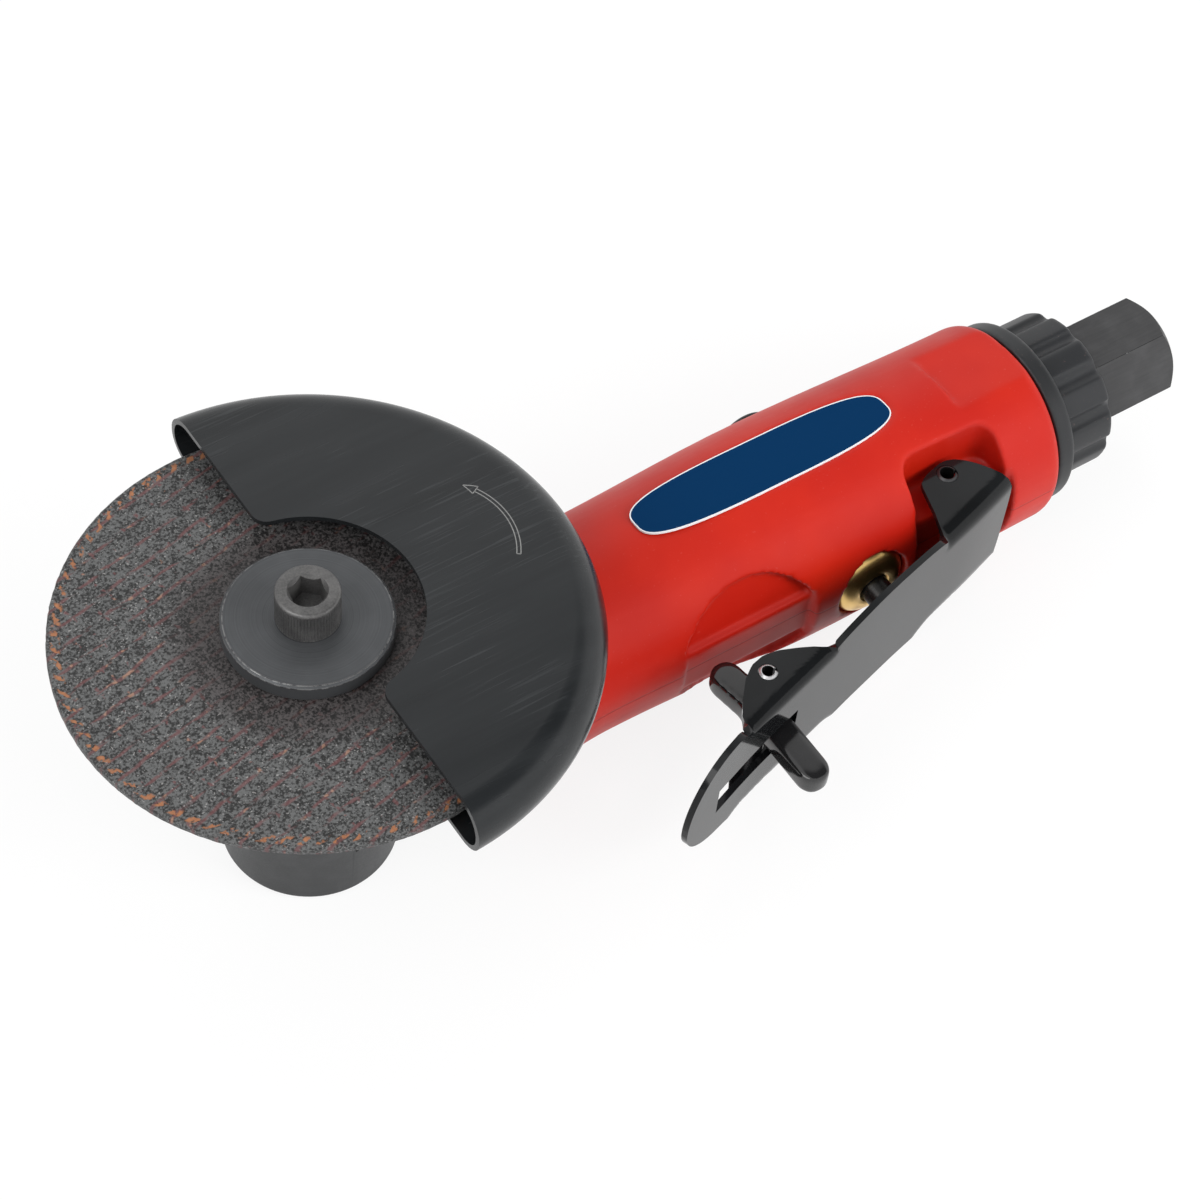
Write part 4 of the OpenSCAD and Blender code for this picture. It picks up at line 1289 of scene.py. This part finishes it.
@dataclass
class Grip(Assembly):
    """The moulded grip and its label plate."""

    grid: float = 0.45
    passes: int = 4
    bore_core_r: float = 15.0
    bore_end_x: float = 88.0
    rear_core_r: float = 8.15
    end_gap: float = 1.5
    core_sides: int = 96
    plate_line: float = 0.2

    def build(self) -> None:
        """Model and dress the grip."""
        low, high = box("grip_housing")
        axis_z = sum(corner.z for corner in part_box("exhaust_deflector")) / 2 / MM
        red = MouldedPlastic("grip_red", (0.485, 0.0135, 0.0035), (0.43, 0.009, 0.003),
                             rough=0.46, seam_z=axis_z, shine=0.32).make()
        solid = self.copied("grip_housing")
        self.fill(solid, low, high, axis_z)
        Piece("grip_moulding", softened(solid, self.grid, self.passes), Body.HOUSING, "red_grip",
              [red], ["grip_housing"], crease=80).finish()
        navy = PlateFilm("plate_navy", (0.0006, 0.028, 0.092)).make()
        white = PlateFilm("plate_line", (0.78, 0.80, 0.82)).make()
        Piece("label_plate", self.plate(), Body.HOUSING, "plate_blue", [navy, white],
              ["name_plate"]).finish()

    def fill(self, solid: BMesh, low: Vector, high: Vector, axis_z: float) -> None:
        """Fill the bores that other pieces close, so that only the outer skin is kept.

        Args:
            solid: The grip's mesh, which takes the cores.
            low: Lowest corner of the grip.
            high: Highest corner of the grip.
            axis_z: Height of the grip's axis.
        """
        cores = [(self.bore_core_r, low.x + self.end_gap, self.bore_end_x),
                 (self.rear_core_r, self.bore_end_x - self.end_gap, high.x - self.end_gap)]
        for radius, start, end in cores:
            ends = [Vector((x, 0, axis_z)) for x in (start, end)]
            core = rod(radius, *ends, self.core_sides)
            data = bpy.data.meshes.new("core")
            core.to_mesh(data)
            core.free()
            solid.from_mesh(data)
            bpy.data.meshes.remove(data)

    def plate(self) -> BMesh:
        """Take the plate and draw a thin line round its edge.

        Returns:
            The plate's mesh.
        """
        mesh = self.copied("name_plate")
        top = max(mesh.faces, key=lambda face: face.normal.z * face.calc_area())
        bmesh.ops.inset_region(mesh, faces=[top], thickness=self.plate_line, use_even_offset=True)
        for face in mesh.faces:
            face.material_index = 0 if face is top else 1
        return mesh


@dataclass
class Valve(Assembly):
    """The brass bushing, the stem and the end plug of the throttle valve."""

    dome_r: float = 3.4
    dome_h: float = 2.7
    dome_step: int = 6
    bore_r: float = 2.55
    bore_lead: Point = (0.4, 0.5)
    bore_drop: float = 0.1
    rim_t: float = 3.9
    shank_r: float = 5.0
    steps: int = 96

    def build(self) -> None:
        """Model and dress the valve."""
        low, high = box("valve_bushing")
        centre = (low + high) / 2
        rim_r = (high.x - low.x) / 2
        dome = [math.radians(turn) for turn in range(0, 91, self.dome_step)]
        foot = low.y + self.rim_t
        profile = [
            (self.bore_r, low.y + self.bore_lead[1]),
            (self.bore_r + self.bore_lead[0], low.y + self.bore_drop),
            *[(self.dome_r + (rim_r - self.dome_r) * math.sin(turn),
               low.y + self.dome_h * (1 - math.cos(turn))) for turn in dome],
            (rim_r, foot), (self.shank_r, foot), (self.shank_r, high.y), (self.bore_r, high.y),
        ]
        Piece("valve_bushing_turned", spun(profile, Axis.Y, centre, self.steps), Body.HOUSING,
              "valve_brass", [TurnedBrass().make()], ["valve_bushing"], edge=0.12).finish()
        dark = MarkedSteel("stem_dark", (0.010, 0.010, 0.010), (0.040, 0.038, 0.036),
                           rough=0.28).make()
        Piece("valve_stem_turned", self.copied("valve_stem"), Body.STEM, "valve_dark", [dark],
              ["valve_stem"], edge=0.2).finish()
        plug = MouldedPlastic("plug_black", (0.012, 0.012, 0.013), (0.008, 0.008, 0.009),
                              rough=0.5).make()
        Piece("valve_plug_black", self.copied("valve_plug"), Body.HOUSING, "plug_black", [plug],
              ["valve_plug"], edge=0.2).finish()


@dataclass
class Lever(Assembly):
    """The bent lever with its pins and the catch that swings through it."""

    pin_x: float = 113.3
    pin_y: float = -11.6
    axis_z: float = 18.4
    length: float = 71.8
    reach: float = 29.4
    sheet: float = 1.6
    wall: float = 1.1
    rear_fold_r: float = 2.4
    front_fold_r: float = 1.5
    rear_w: float = 21.6
    front_w: float = 21.0
    waist_w: float = 20.2
    tip_r: float = 10.4
    slot_w: float = 6.0
    bend: float = 5.0
    bend_steps: int = 8
    rear_fold_x: float = 105.2
    front_fold_x: float = 76.1
    tip_fold_x: float = 56.6
    fold_run: float = 1.6
    under_run: float = 11.0
    rear_round: float = 7.0
    rear_cut: float = 1.3
    rear_power: float = 2.7
    rear_least: float = 1.2
    least: float = 0.6
    waist_lift: float = 2.6
    waist_power: float = 0.7
    tip_trim: float = 0.10
    trim_run: float = 6.6
    tip_lift: float = 0.14
    flat_over: float = 4.6
    columns: int = 18
    web_rows: int = 92
    rear_turns: Sequence[int] = range(0, 90, 4)
    tip_turns: Sequence[int] = range(6, 87, 5)
    pin_r: float = 1.75
    catch_pin_r: float = 1.5
    hole_gap: float = 0.06
    pin_wall: float = 0.5
    bore_share: float = 0.9
    pin_lead: float = 0.35
    pin_steps: int = 40
    slit: float = 26.0
    catch_grid: float = 0.3
    catch_passes: int = 24
    web_shares: Sequence[Point] = (
        (-0.143, 0.177), (-0.01, 0.279), (0.478, 0.602), (0.763, 0.796), (1.0, 1.0))
    width_shares: Sequence[float] = (-0.14, -0.115, -0.07, 0.1, 0.28, 0.4, 0.52, 0.82)
    rear_shares: Point = (0.275, 0.43)
    rear_ear: Sequence[Point] = (
        (0.111, 0.296), (0.093, 0.18), (0.078, 0.051), (0.07, -0.017), (0.047, -0.051),
        (0.017, -0.071), (-0.028, -0.068), (-0.065, -0.041), (-0.088, 0.01), (-0.1, 0.095),
        (-0.102, 0.224), (-0.003, 0.306), (0.11, 0.374))
    front_ear: Sequence[Point] = (
        (-0.149, 0.030), (-0.129, -0.006), (-0.097, -0.044), (-0.052, -0.088), (-0.016, -0.101),
        (0.019, -0.081), (0.051, -0.027), (0.084, 0.062), (0.116, 0.164), (0.125, 0.246),
        (-0.133, 0.082), (-0.151, 0.066))
    catch_shares: Point = (0.6734, 0.5776)
    slot_shares: Point = (0.62, 0.895)

    def build(self) -> None:
        """Model and dress the lever, its pins and the catch."""
        paint = GlossPaint("lever_gloss_black", (0.006, 0.0065, 0.007), rough=0.08,
                           shine=0.26).make()
        Piece("lever_bent", self.sheet_metal(), Body.LEVER, "lever_black", [paint],
              ["throttle_lever"], edge=0.45, edge_angle=40, crease=50).finish()
        dark = MarkedSteel("pin_black", (0.02, 0.02, 0.021), (0.12, 0.12, 0.125)).make()
        steel = MarkedSteel("pin_steel", (0.50, 0.50, 0.51), (0.85, 0.85, 0.86), metal=0.9).make()
        # Near black for the inside of the pins' bores: painted shade in the hollow.
        bore = MarkedSteel("pin_bore", (0.008, 0.008, 0.008), (0.02, 0.02, 0.02)).make()
        for node, radius, body, skin in (("lever_pin", self.pin_r, Body.HOUSING, dark),
                                         ("catch_pin", self.catch_pin_r, Body.LEVER, steel)):
            Piece(f"{node}_rolled", self.rolled_pin(node, radius), body, "dark_steel", [skin, bore],
                  [node], edge=0.1).finish()
        catch = GlossPaint("catch_gloss_black", (0.008, 0.008, 0.0085), rough=0.10,
                           shine=0.75).make()
        plate = softened(self.copied("safety_catch"), self.catch_grid, self.catch_passes)
        Piece("catch_plate", plate, Body.CATCH, "catch_black", [catch], ["safety_catch"],
              crease=80).finish()

    def along(self, share: float) -> float:
        """Distance along the grip of a share of the lever's length."""
        return self.pin_x - self.length * share

    def point(self, share: Point) -> Vector:
        """Place of a lever share in the side view."""
        return Vector((self.along(share[0]), self.pin_y - self.reach * share[1]))

    def tip_x(self) -> float:
        """Distance along the grip at which the tip's round starts."""
        return self.pin_x - self.length + self.tip_r

    def path(self) -> list[Vector]:
        """Middle line of the web in the side view, with eased bends.

        Returns:
            Closely spaced points from the rear to the tip.
        """
        corners = [self.point(share) for share in self.web_shares]
        eased_line = [corners[0]]
        for before, here, after in zip(corners, corners[1:], corners[2:]):
            start = here + (before - here).normalized() * self.bend
            end = here + (after - here).normalized() * self.bend
            for i in range(self.bend_steps + 1):
                t = i / self.bend_steps
                eased_line.append(start.lerp(here, t).lerp(here.lerp(end, t), t))
        return [*eased_line, corners[-1]]

    def at(self, path: list[Vector], x: float) -> tuple[Vector, Vector]:
        """Point and inward normal on the outside of the web.

        Args:
            path: Middle line of the web.
            x: Distance along the grip.

        Returns:
            The point, and the unit normal towards the grip.
        """
        base, ahead = path[-1], path[-1] - path[-2]
        for first, second in zip(path, path[1:]):
            if first.x + WELD >= x >= second.x - WELD:
                ahead = second - first
                base = first + ahead * ((first.x - x) / max(first.x - second.x, WELD))
                break
        normal = Vector((ahead.y, -ahead.x)).normalized()
        return base - normal * self.sheet / 2, normal

    def plan_half(self, x: float) -> float:
        """Half width of the web, seen flat.

        Args:
            x: Distance along the grip.

        Returns:
            Distance from the middle to the edge.
        """
        tip = self.tip_x()
        if x < tip:
            return math.sqrt(max(self.tip_r ** 2 - (tip - x) ** 2, 0.0))
        rear, waist, front = (0.5 * width for width in (self.rear_w, self.waist_w, self.front_w))
        ends = [share * self.rear_w for share in self.rear_shares]
        halves = [*ends, rear, rear, waist, waist, front, front, self.tip_r]
        return stepped([*map(self.along, self.width_shares), tip], halves, x)

    def fold(self, x: float, side: float) -> Point:
        """Find where the sheet starts to fold.

        Args:
            x: Distance along the grip.
            side: Over 0 for the upper edge, under 0 for the lower one.

        Returns:
            Half of the width that stays flat, and the radius of the fold.
        """
        middle = (self.rear_fold_x + self.front_fold_x) / 2
        bend = self.rear_fold_r if x > middle else self.front_fold_r
        run = self.fold_run if side > 0 else self.under_run
        rear, front = 0.5 * self.rear_w, 0.5 * self.front_w
        open_rear, open_front = rear + self.flat_over, front + self.flat_over
        places = (self.rear_fold_x, self.rear_fold_x - run, self.front_fold_x + run,
                  self.front_fold_x, self.tip_fold_x, self.tip_fold_x - run)
        halves = (rear, open_rear, open_rear, front, front, open_front)
        return stepped(places, halves, x) - bend, bend

    def turned_edges(self, x: float, upper: float, lower: float) -> Point:
        """Widen the upper edge between the ears and at the tip, and trim the tip below.

        Args:
            x: Distance along the grip.
            upper: Half width of the flat sheet above.
            lower: Half width of the flat sheet below.

        Returns:
            The two half widths after that.
        """
        past = self.tip_fold_x - x
        if past > 0:
            lift = self.tip_lift * self.plan_half(x) * eased(past / (2 * self.fold_run))
        else:
            share = (x - self.front_fold_x) / (self.rear_fold_x - self.front_fold_x)
            wave = math.sin(math.pi * min(max(share, 0.0), 1.0))
            lift = self.waist_lift * max(wave, 0.0) ** self.waist_power
        return upper + lift, lower * (1 - self.tip_trim * eased(past / self.trim_run))

    def rounded(self, left: float, half: float) -> float:
        """Half width of the flat sheet near its rear end, which is close to half an ellipse.

        Args:
            left: Distance left to the rear end.
            half: Half width where the round starts.

        Returns:
            Half width of the flat sheet.
        """
        share = max(1 - (1 - left / self.rear_round) ** self.rear_power, 0.0)
        return max(half * share ** (1 / self.rear_power), self.rear_least)

    def ear_height(self, outline: list[Vector], base: Vector, normal: Vector) -> float:
        """Height of an ear over a point of the web.

        Args:
            outline: Outline of the ear in the side view.
            base: The point of the web.
            normal: Direction towards the grip.

        Returns:
            The greatest height at which the outline is met, or 0.
        """
        best = 0.0
        for first, second in zip(outline, outline[1:] + outline[:1]):
            edge, away = second - first, first - base
            turn = normal.x * edge.y - normal.y * edge.x
            if abs(turn) < TINY:
                continue
            height = (away.x * edge.y - away.y * edge.x) / turn
            share = (away.x * normal.y - away.y * normal.x) / turn
            if 0 <= share <= 1:
                best = max(best, height)
        return best

    def developed_half(self, x: float, height: float, side: float) -> float:
        """Half of the sheet's flat width that gives the web and the ear at a place.

        Args:
            x: Distance along the grip.
            height: Height of the ear there.
            side: Over 0 for the upper edge, under 0 for the lower one.

        Returns:
            Half width of the flat sheet.
        """
        flat, bend = self.fold(x, side)
        half = self.plan_half(x)
        if half > flat:
            half = flat + bend * math.asin(min((half - flat) / bend, 1.0))
        if height >= bend:
            half = max(half, flat + bend * math.pi / 2 + height - bend)
        elif height > 0:
            half = max(half, flat + bend * math.acos(1 - height / bend))
        return max(half, self.least)

    def folded(self, x: float, run: float) -> Point:
        """Across and inward place of a point of the flat sheet after folding.

        Args:
            x: Distance along the grip.
            run: Distance from the middle on the flat sheet.

        Returns:
            Distance across and distance towards the grip.
        """
        side, run = math.copysign(1, run), abs(run)
        flat, bend = self.fold(x, side)
        if run <= flat:
            return side * run, 0.0
        turn = (run - flat) / bend
        if turn <= math.pi / 2:
            return side * (flat + bend * math.sin(turn)), bend * (1 - math.cos(turn))
        return side * (flat + bend), bend + run - flat - bend * math.pi / 2

    def stations(self) -> list[float]:
        """Distances along the grip at which the sheet gets a row of points.

        Returns:
            The distances, from the rear to the tip.
        """
        tip = self.tip_x()
        full = self.along(self.web_shares[0][0]) - self.rear_cut - self.rear_round
        rows = [full + self.rear_round * math.cos(math.radians(turn)) for turn in self.rear_turns]
        rows += [full - i * (full - tip) / self.web_rows for i in range(self.web_rows + 1)]
        rows += [tip - self.tip_r * math.sin(math.radians(turn)) for turn in self.tip_turns]
        for place in map(self.along, self.slot_shares):
            nearest = min(range(len(rows)), key=lambda i: abs(rows[i] - place))
            rows[nearest] = place
        return rows

    def folded_sheet(self) -> BMesh:
        """Fold a flat grid into the outer face of the lever.

        Returns:
            The face, without thickness.
        """
        path, rows = self.path(), self.stations()
        pin = self.point(self.catch_shares)
        ears = ([self.point(share) for share in self.rear_ear],
                [pin + Vector((-self.length * a, -self.reach * b)) for a, b in self.front_ear])
        across = 2 * self.columns + 2
        mesh = bmesh.new()
        bmesh.ops.create_grid(mesh, x_segments=len(rows) - 1, y_segments=across, size=1.0)
        order = iter(sorted(mesh.verts, key=lambda vert: (
            round((vert.co.x + 1) * (len(rows) - 1) / 2), round((vert.co.y + 1) * across / 2))))
        full = rows[0] - self.rear_round
        for x in rows:
            outer, normal = self.at(path, min(x, full))
            height = max(self.ear_height(ear, outer, normal) for ear in ears)
            upper, lower = (self.developed_half(min(x, full), height, side) for side in (1, -1))
            if x > full:
                upper, lower = (self.rounded(rows[0] - x, half) for half in (upper, lower))
            inner = 0.5 * min(self.slot_w, upper, lower)
            upper, lower = self.turned_edges(x, upper, lower)
            outer, normal = self.at(path, x)
            for step in range(-self.columns - 1, self.columns + 2):
                run = inner * step
                if abs(step) > 1:
                    edge = upper if step > 0 else lower
                    run = inner + (edge - inner) * (abs(step) - 1) / self.columns
                    run = math.copysign(run, step)
                wide, deep = self.folded(x, run)
                next(order).co = (*(outer + normal * deep), self.axis_z + wide)
        return mesh

    def sheet_metal(self) -> BMesh:
        """Open the slot of the folded sheet, give it thickness and drill its pin holes.

        Returns:
            The lever's solid.
        """
        mesh = self.folded_sheet()
        front, rear = sorted(map(self.along, self.slot_shares))
        gone = []
        for face in mesh.faces:
            middle = face.calc_center_median()
            if abs(middle.z - self.axis_z) < self.slot_w / 2 and front < middle.x < rear:
                gone.append(face)
        bmesh.ops.delete(mesh, geom=gone, context="FACES")
        turned_out(mesh, Vector((0, -1, 0)))
        pin = self.point(self.catch_shares)
        drills = []
        for x, y, radius in ((self.pin_x, self.pin_y, self.pin_r), (*pin, self.catch_pin_r)):
            ends = [Vector((x, y, self.axis_z + side * self.rear_w)) for side in (-1, 1)]
            drills.append(rod(radius + self.hole_gap, *ends))
        return cut(walled(mesh, self.wall, False), drills)

    def rolled_pin(self, node: str, radius: float) -> BMesh:
        """Roll a pin from strip, with its slit left open.

        Args:
            node: Node that the pin stands for.
            radius: Outer radius of the pin.

        Returns:
            The pin's solid, with its bore in the second material, which paints the bore's shade.
        """
        low, high = box(node)
        centre = (low + high) / 2
        lead, bore = self.pin_lead, radius - self.pin_wall
        section = [(bore, low.z), (radius - lead, low.z), (radius, low.z + lead),
                   (radius, high.z - lead), (radius - lead, high.z), (bore, high.z)]
        mesh = bmesh.new()
        verts = [mesh.verts.new(centre + Vector((r, 0, z - centre.z))) for r, z in section]
        start = mesh.faces.new(verts)
        bmesh.ops.spin(
            mesh, geom=[start, *start.edges, *start.verts], cent=centre, axis=Axis.Z.value,
            angle=math.radians(360 - self.slit), steps=self.pin_steps,
        )
        # The bore's faces take the second material, a painted shade inside the hollow pin.
        for face in joined(mesh).faces:
            away = face.calc_center_median() - centre
            if away.xy.length < radius - self.bore_share * self.pin_wall:
                face.material_index = 1
        return mesh


@dataclass
class RearEnd(Assembly):
    """The exhaust deflector and the inlet's hexagon."""

    grid: float = 0.36
    passes: int = 4

    def build(self) -> None:
        """Model and dress the rear end."""
        char = MouldedPlastic("deflector_charcoal", (0.021, 0.022, 0.024), (0.016, 0.017, 0.018),
                              rough=0.42).make()
        collar = softened(self.copied("exhaust_deflector"), self.grid, self.passes)
        Piece("deflector_moulding", collar, Body.DEFLECTOR, "deflector_black", [char],
              ["exhaust_deflector"], crease=80).finish()
        black = MarkedSteel("inlet_black", (0.034, 0.034, 0.035), (0.085, 0.085, 0.087),
                            Marks.ALONG_X, rough=0.46, metal=0.4).make()
        edge_wear_and_highlight = EdgeWearAndHighlight("inlet_worn_edge", (0.035, 0.035, 0.036), (0.40, 0.40, 0.40),
                        share=0.56).make()
        Piece("inlet_hexagon", self.copied("inlet_bushing"), Body.HOUSING, "inlet_black",
              [black, edge_wear_and_highlight], ["inlet_bushing"], edge=0.3, edge_angle=25, edge_material=1).finish()


@dataclass
class Insides(Assembly):
    """The pieces that the housing hides, carried over as they are."""

    finishes: dict[str, tuple[Colour, float, float]] = field(default_factory=lambda: {
        "dark_steel": ((0.10, 0.10, 0.11), 0.8, 0.4),
        "machined_steel": ((0.50, 0.50, 0.52), 1.0, 0.35),
        "bearing_steel": ((0.66, 0.66, 0.68), 1.0, 0.2),
        "spring_steel": ((0.55, 0.55, 0.57), 1.0, 0.3),
        "gasket_fibre": ((0.28, 0.20, 0.12), 0.0, 0.7),
        "seal_rubber": ((0.03, 0.03, 0.03), 0.0, 0.6),
        "muffler_felt": ((0.42, 0.39, 0.34), 0.0, 0.9),
    })

    def build(self) -> None:
        """Give each carried node the finish of its slot."""
        slots = {row["node"]: row["material_slot"] for row in self.frame["record"]["subparts"]}
        made = {slot: PlainGrain(f"inner_{slot}", colour, metal, rough).make()
                for slot, (colour, metal, rough) in self.finishes.items()}
        for name, node in self.frame["nodes"].items():
            if not node.hide_render and slots[name] in made:
                node.data.materials.clear()
                node.data.materials.append(made[slots[name]])
                log.info("%s: carried over as %s", name, slots[name])


@dataclass
class Studio:
    """Floor, soft light, white surround and the camera."""

    eye: Sequence[float] = (-0.1288, -0.2228, 0.4025)
    turn: float = -39.27
    rise: float = 52.86
    roll: float = 6.82
    lens: float = 90.0
    sensor: float = 36.0
    clip: Point = (0.01, 10.0)
    fill: float = 0.64
    dark: float = 0.08
    dark_way: Sequence[float] = (0.39, -0.10, 0.915)
    dark_from: Point = (0.855, 0.905)
    floor_half: float = 9.0
    floor_grey: Sequence[float] = (0.9, 0.9, 0.9, 1.0)
    floor_white: float = 0.86
    aim: Sequence[float] = (0.06, 0.0, 0.03)

    def build(self) -> None:
        """Set up the stage."""
        bpy.context.scene.view_settings.view_transform = "Standard"
        self.camera()
        self.surround()
        self.floor()
        self.lamp("key", (-0.55, -0.05, 0.62), 0.55, 2.7, True)
        self.lamp("side", (0.45, -0.60, 0.45), 0.45, 5.4, False)
        self.lamp("back", (0.25, 0.55, 0.60), 0.50, 1.4, False)

    def camera(self) -> None:
        """Place the camera at the photograph's viewing angle."""
        data = bpy.data.cameras.new("camera")
        data.lens, data.sensor_width, data.sensor_fit = self.lens, self.sensor, "HORIZONTAL"
        data.clip_start, data.clip_end = self.clip
        made = placed("camera", data)
        turn, rise, roll = (math.radians(v) for v in (self.turn, self.rise, self.roll))
        away = Vector((math.sin(turn), -math.cos(turn), 0)) * math.cos(rise)
        back = away + Vector((0, 0, math.sin(rise)))
        level = Vector((math.cos(turn), math.sin(turn), 0))
        over = back.cross(level)
        right = math.cos(roll) * level + math.sin(roll) * over
        up = math.cos(roll) * over - math.sin(roll) * level
        pose = Matrix((right, up, back)).transposed().to_4x4()
        made.matrix_world = Matrix.Translation(self.eye) @ pose
        bpy.context.scene.camera = made

    def surround(self) -> None:
        """White surround that darkens overhead in reflections, and an even soft fill."""
        world = bpy.data.worlds.new("surround")
        world.use_nodes = True
        bpy.context.scene.world = world
        tree = Nodes(world.node_tree)
        base = tree.tree.nodes["Background"]
        tree.fill(base, Color=WHITE, Strength=self.fill)
        near = tree.add("ShaderNodeVectorMath")
        near.operation = "DOT_PRODUCT"
        tree.feed(near.inputs[0], tree.add("ShaderNodeTexCoord").outputs["Generated"])
        tree.feed(near.inputs[1], self.dark_way)
        height = tree.ramp(near.outputs["Value"], *self.dark_from, 1.0, self.dark)
        camera_ray = tree.add("ShaderNodeLightPath").outputs["Is Camera Ray"]
        white = tree.add("ShaderNodeBackground", Color=WHITE,
                         Strength=tree.math("MAXIMUM", height, camera_ray))
        tree.shade(self.seen(tree), base, white, "World Output")

    def seen(self, tree: Nodes) -> NodeSocket:
        """Tell which rays show the surround itself: camera, glossy and transmission rays.

        Args:
            tree: The node tree under construction.

        Returns:
            Socket that is 1 for those rays and 0 for others.
        """
        rays = tree.add("ShaderNodeLightPath").outputs
        shows = tree.math("MAXIMUM", rays["Is Camera Ray"], rays["Is Glossy Ray"])
        return tree.math("MAXIMUM", shows, rays["Is Transmission Ray"])

    def floor(self) -> None:
        """A plain pale floor that keeps the tool's shadow."""
        mesh = bmesh.new()
        bmesh.ops.create_grid(mesh, x_segments=1, y_segments=1, size=self.floor_half)
        made = object_from("floor", mesh)
        material = bpy.data.materials.new("floor_white")
        material.use_nodes = True
        tree = Nodes(material.node_tree)
        tree.tree.nodes.remove(tree.tree.nodes["Principled BSDF"])
        pale = tree.add("ShaderNodeBsdfDiffuse", Color=self.floor_grey)
        glow = tree.add("ShaderNodeEmission", Strength=1.0)
        share = tree.times(self.seen(tree), self.floor_white)
        tree.shade(share, pale, glow, "Material Output")
        made.data.materials.append(material)

    def lamp(
        self, name: str, place: Sequence[float], size: float, power: float, shine: bool
    ) -> None:
        """Add a soft square lamp that faces the tool.

        Args:
            name: Name of the lamp.
            place: Where it hangs, in metres.
            size: Side of its square in metres.
            power: Power in watts.
            shine: Whether the lamp itself shows in glossy faces.
        """
        data = bpy.data.lights.new(name, "AREA")
        data.size, data.energy = size, power
        made = placed(name, data)
        made.location = place
        made.visible_glossy = shine
        way = Vector(self.aim) - Vector(place)
        made.rotation_euler = way.to_track_quat("-Z", "Y").to_euler()


def main() -> None:
    """Build the whole tool and its stage."""
    logging.basicConfig(level=logging.INFO, format="%(name)s: %(message)s")
    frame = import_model()
    Studio().build()
    for assembly in (Guard, DiscStack, Head, Grip, Valve, Lever, RearEnd, Insides):
        assembly(frame).build()


if __name__ == "__main__":
    main()
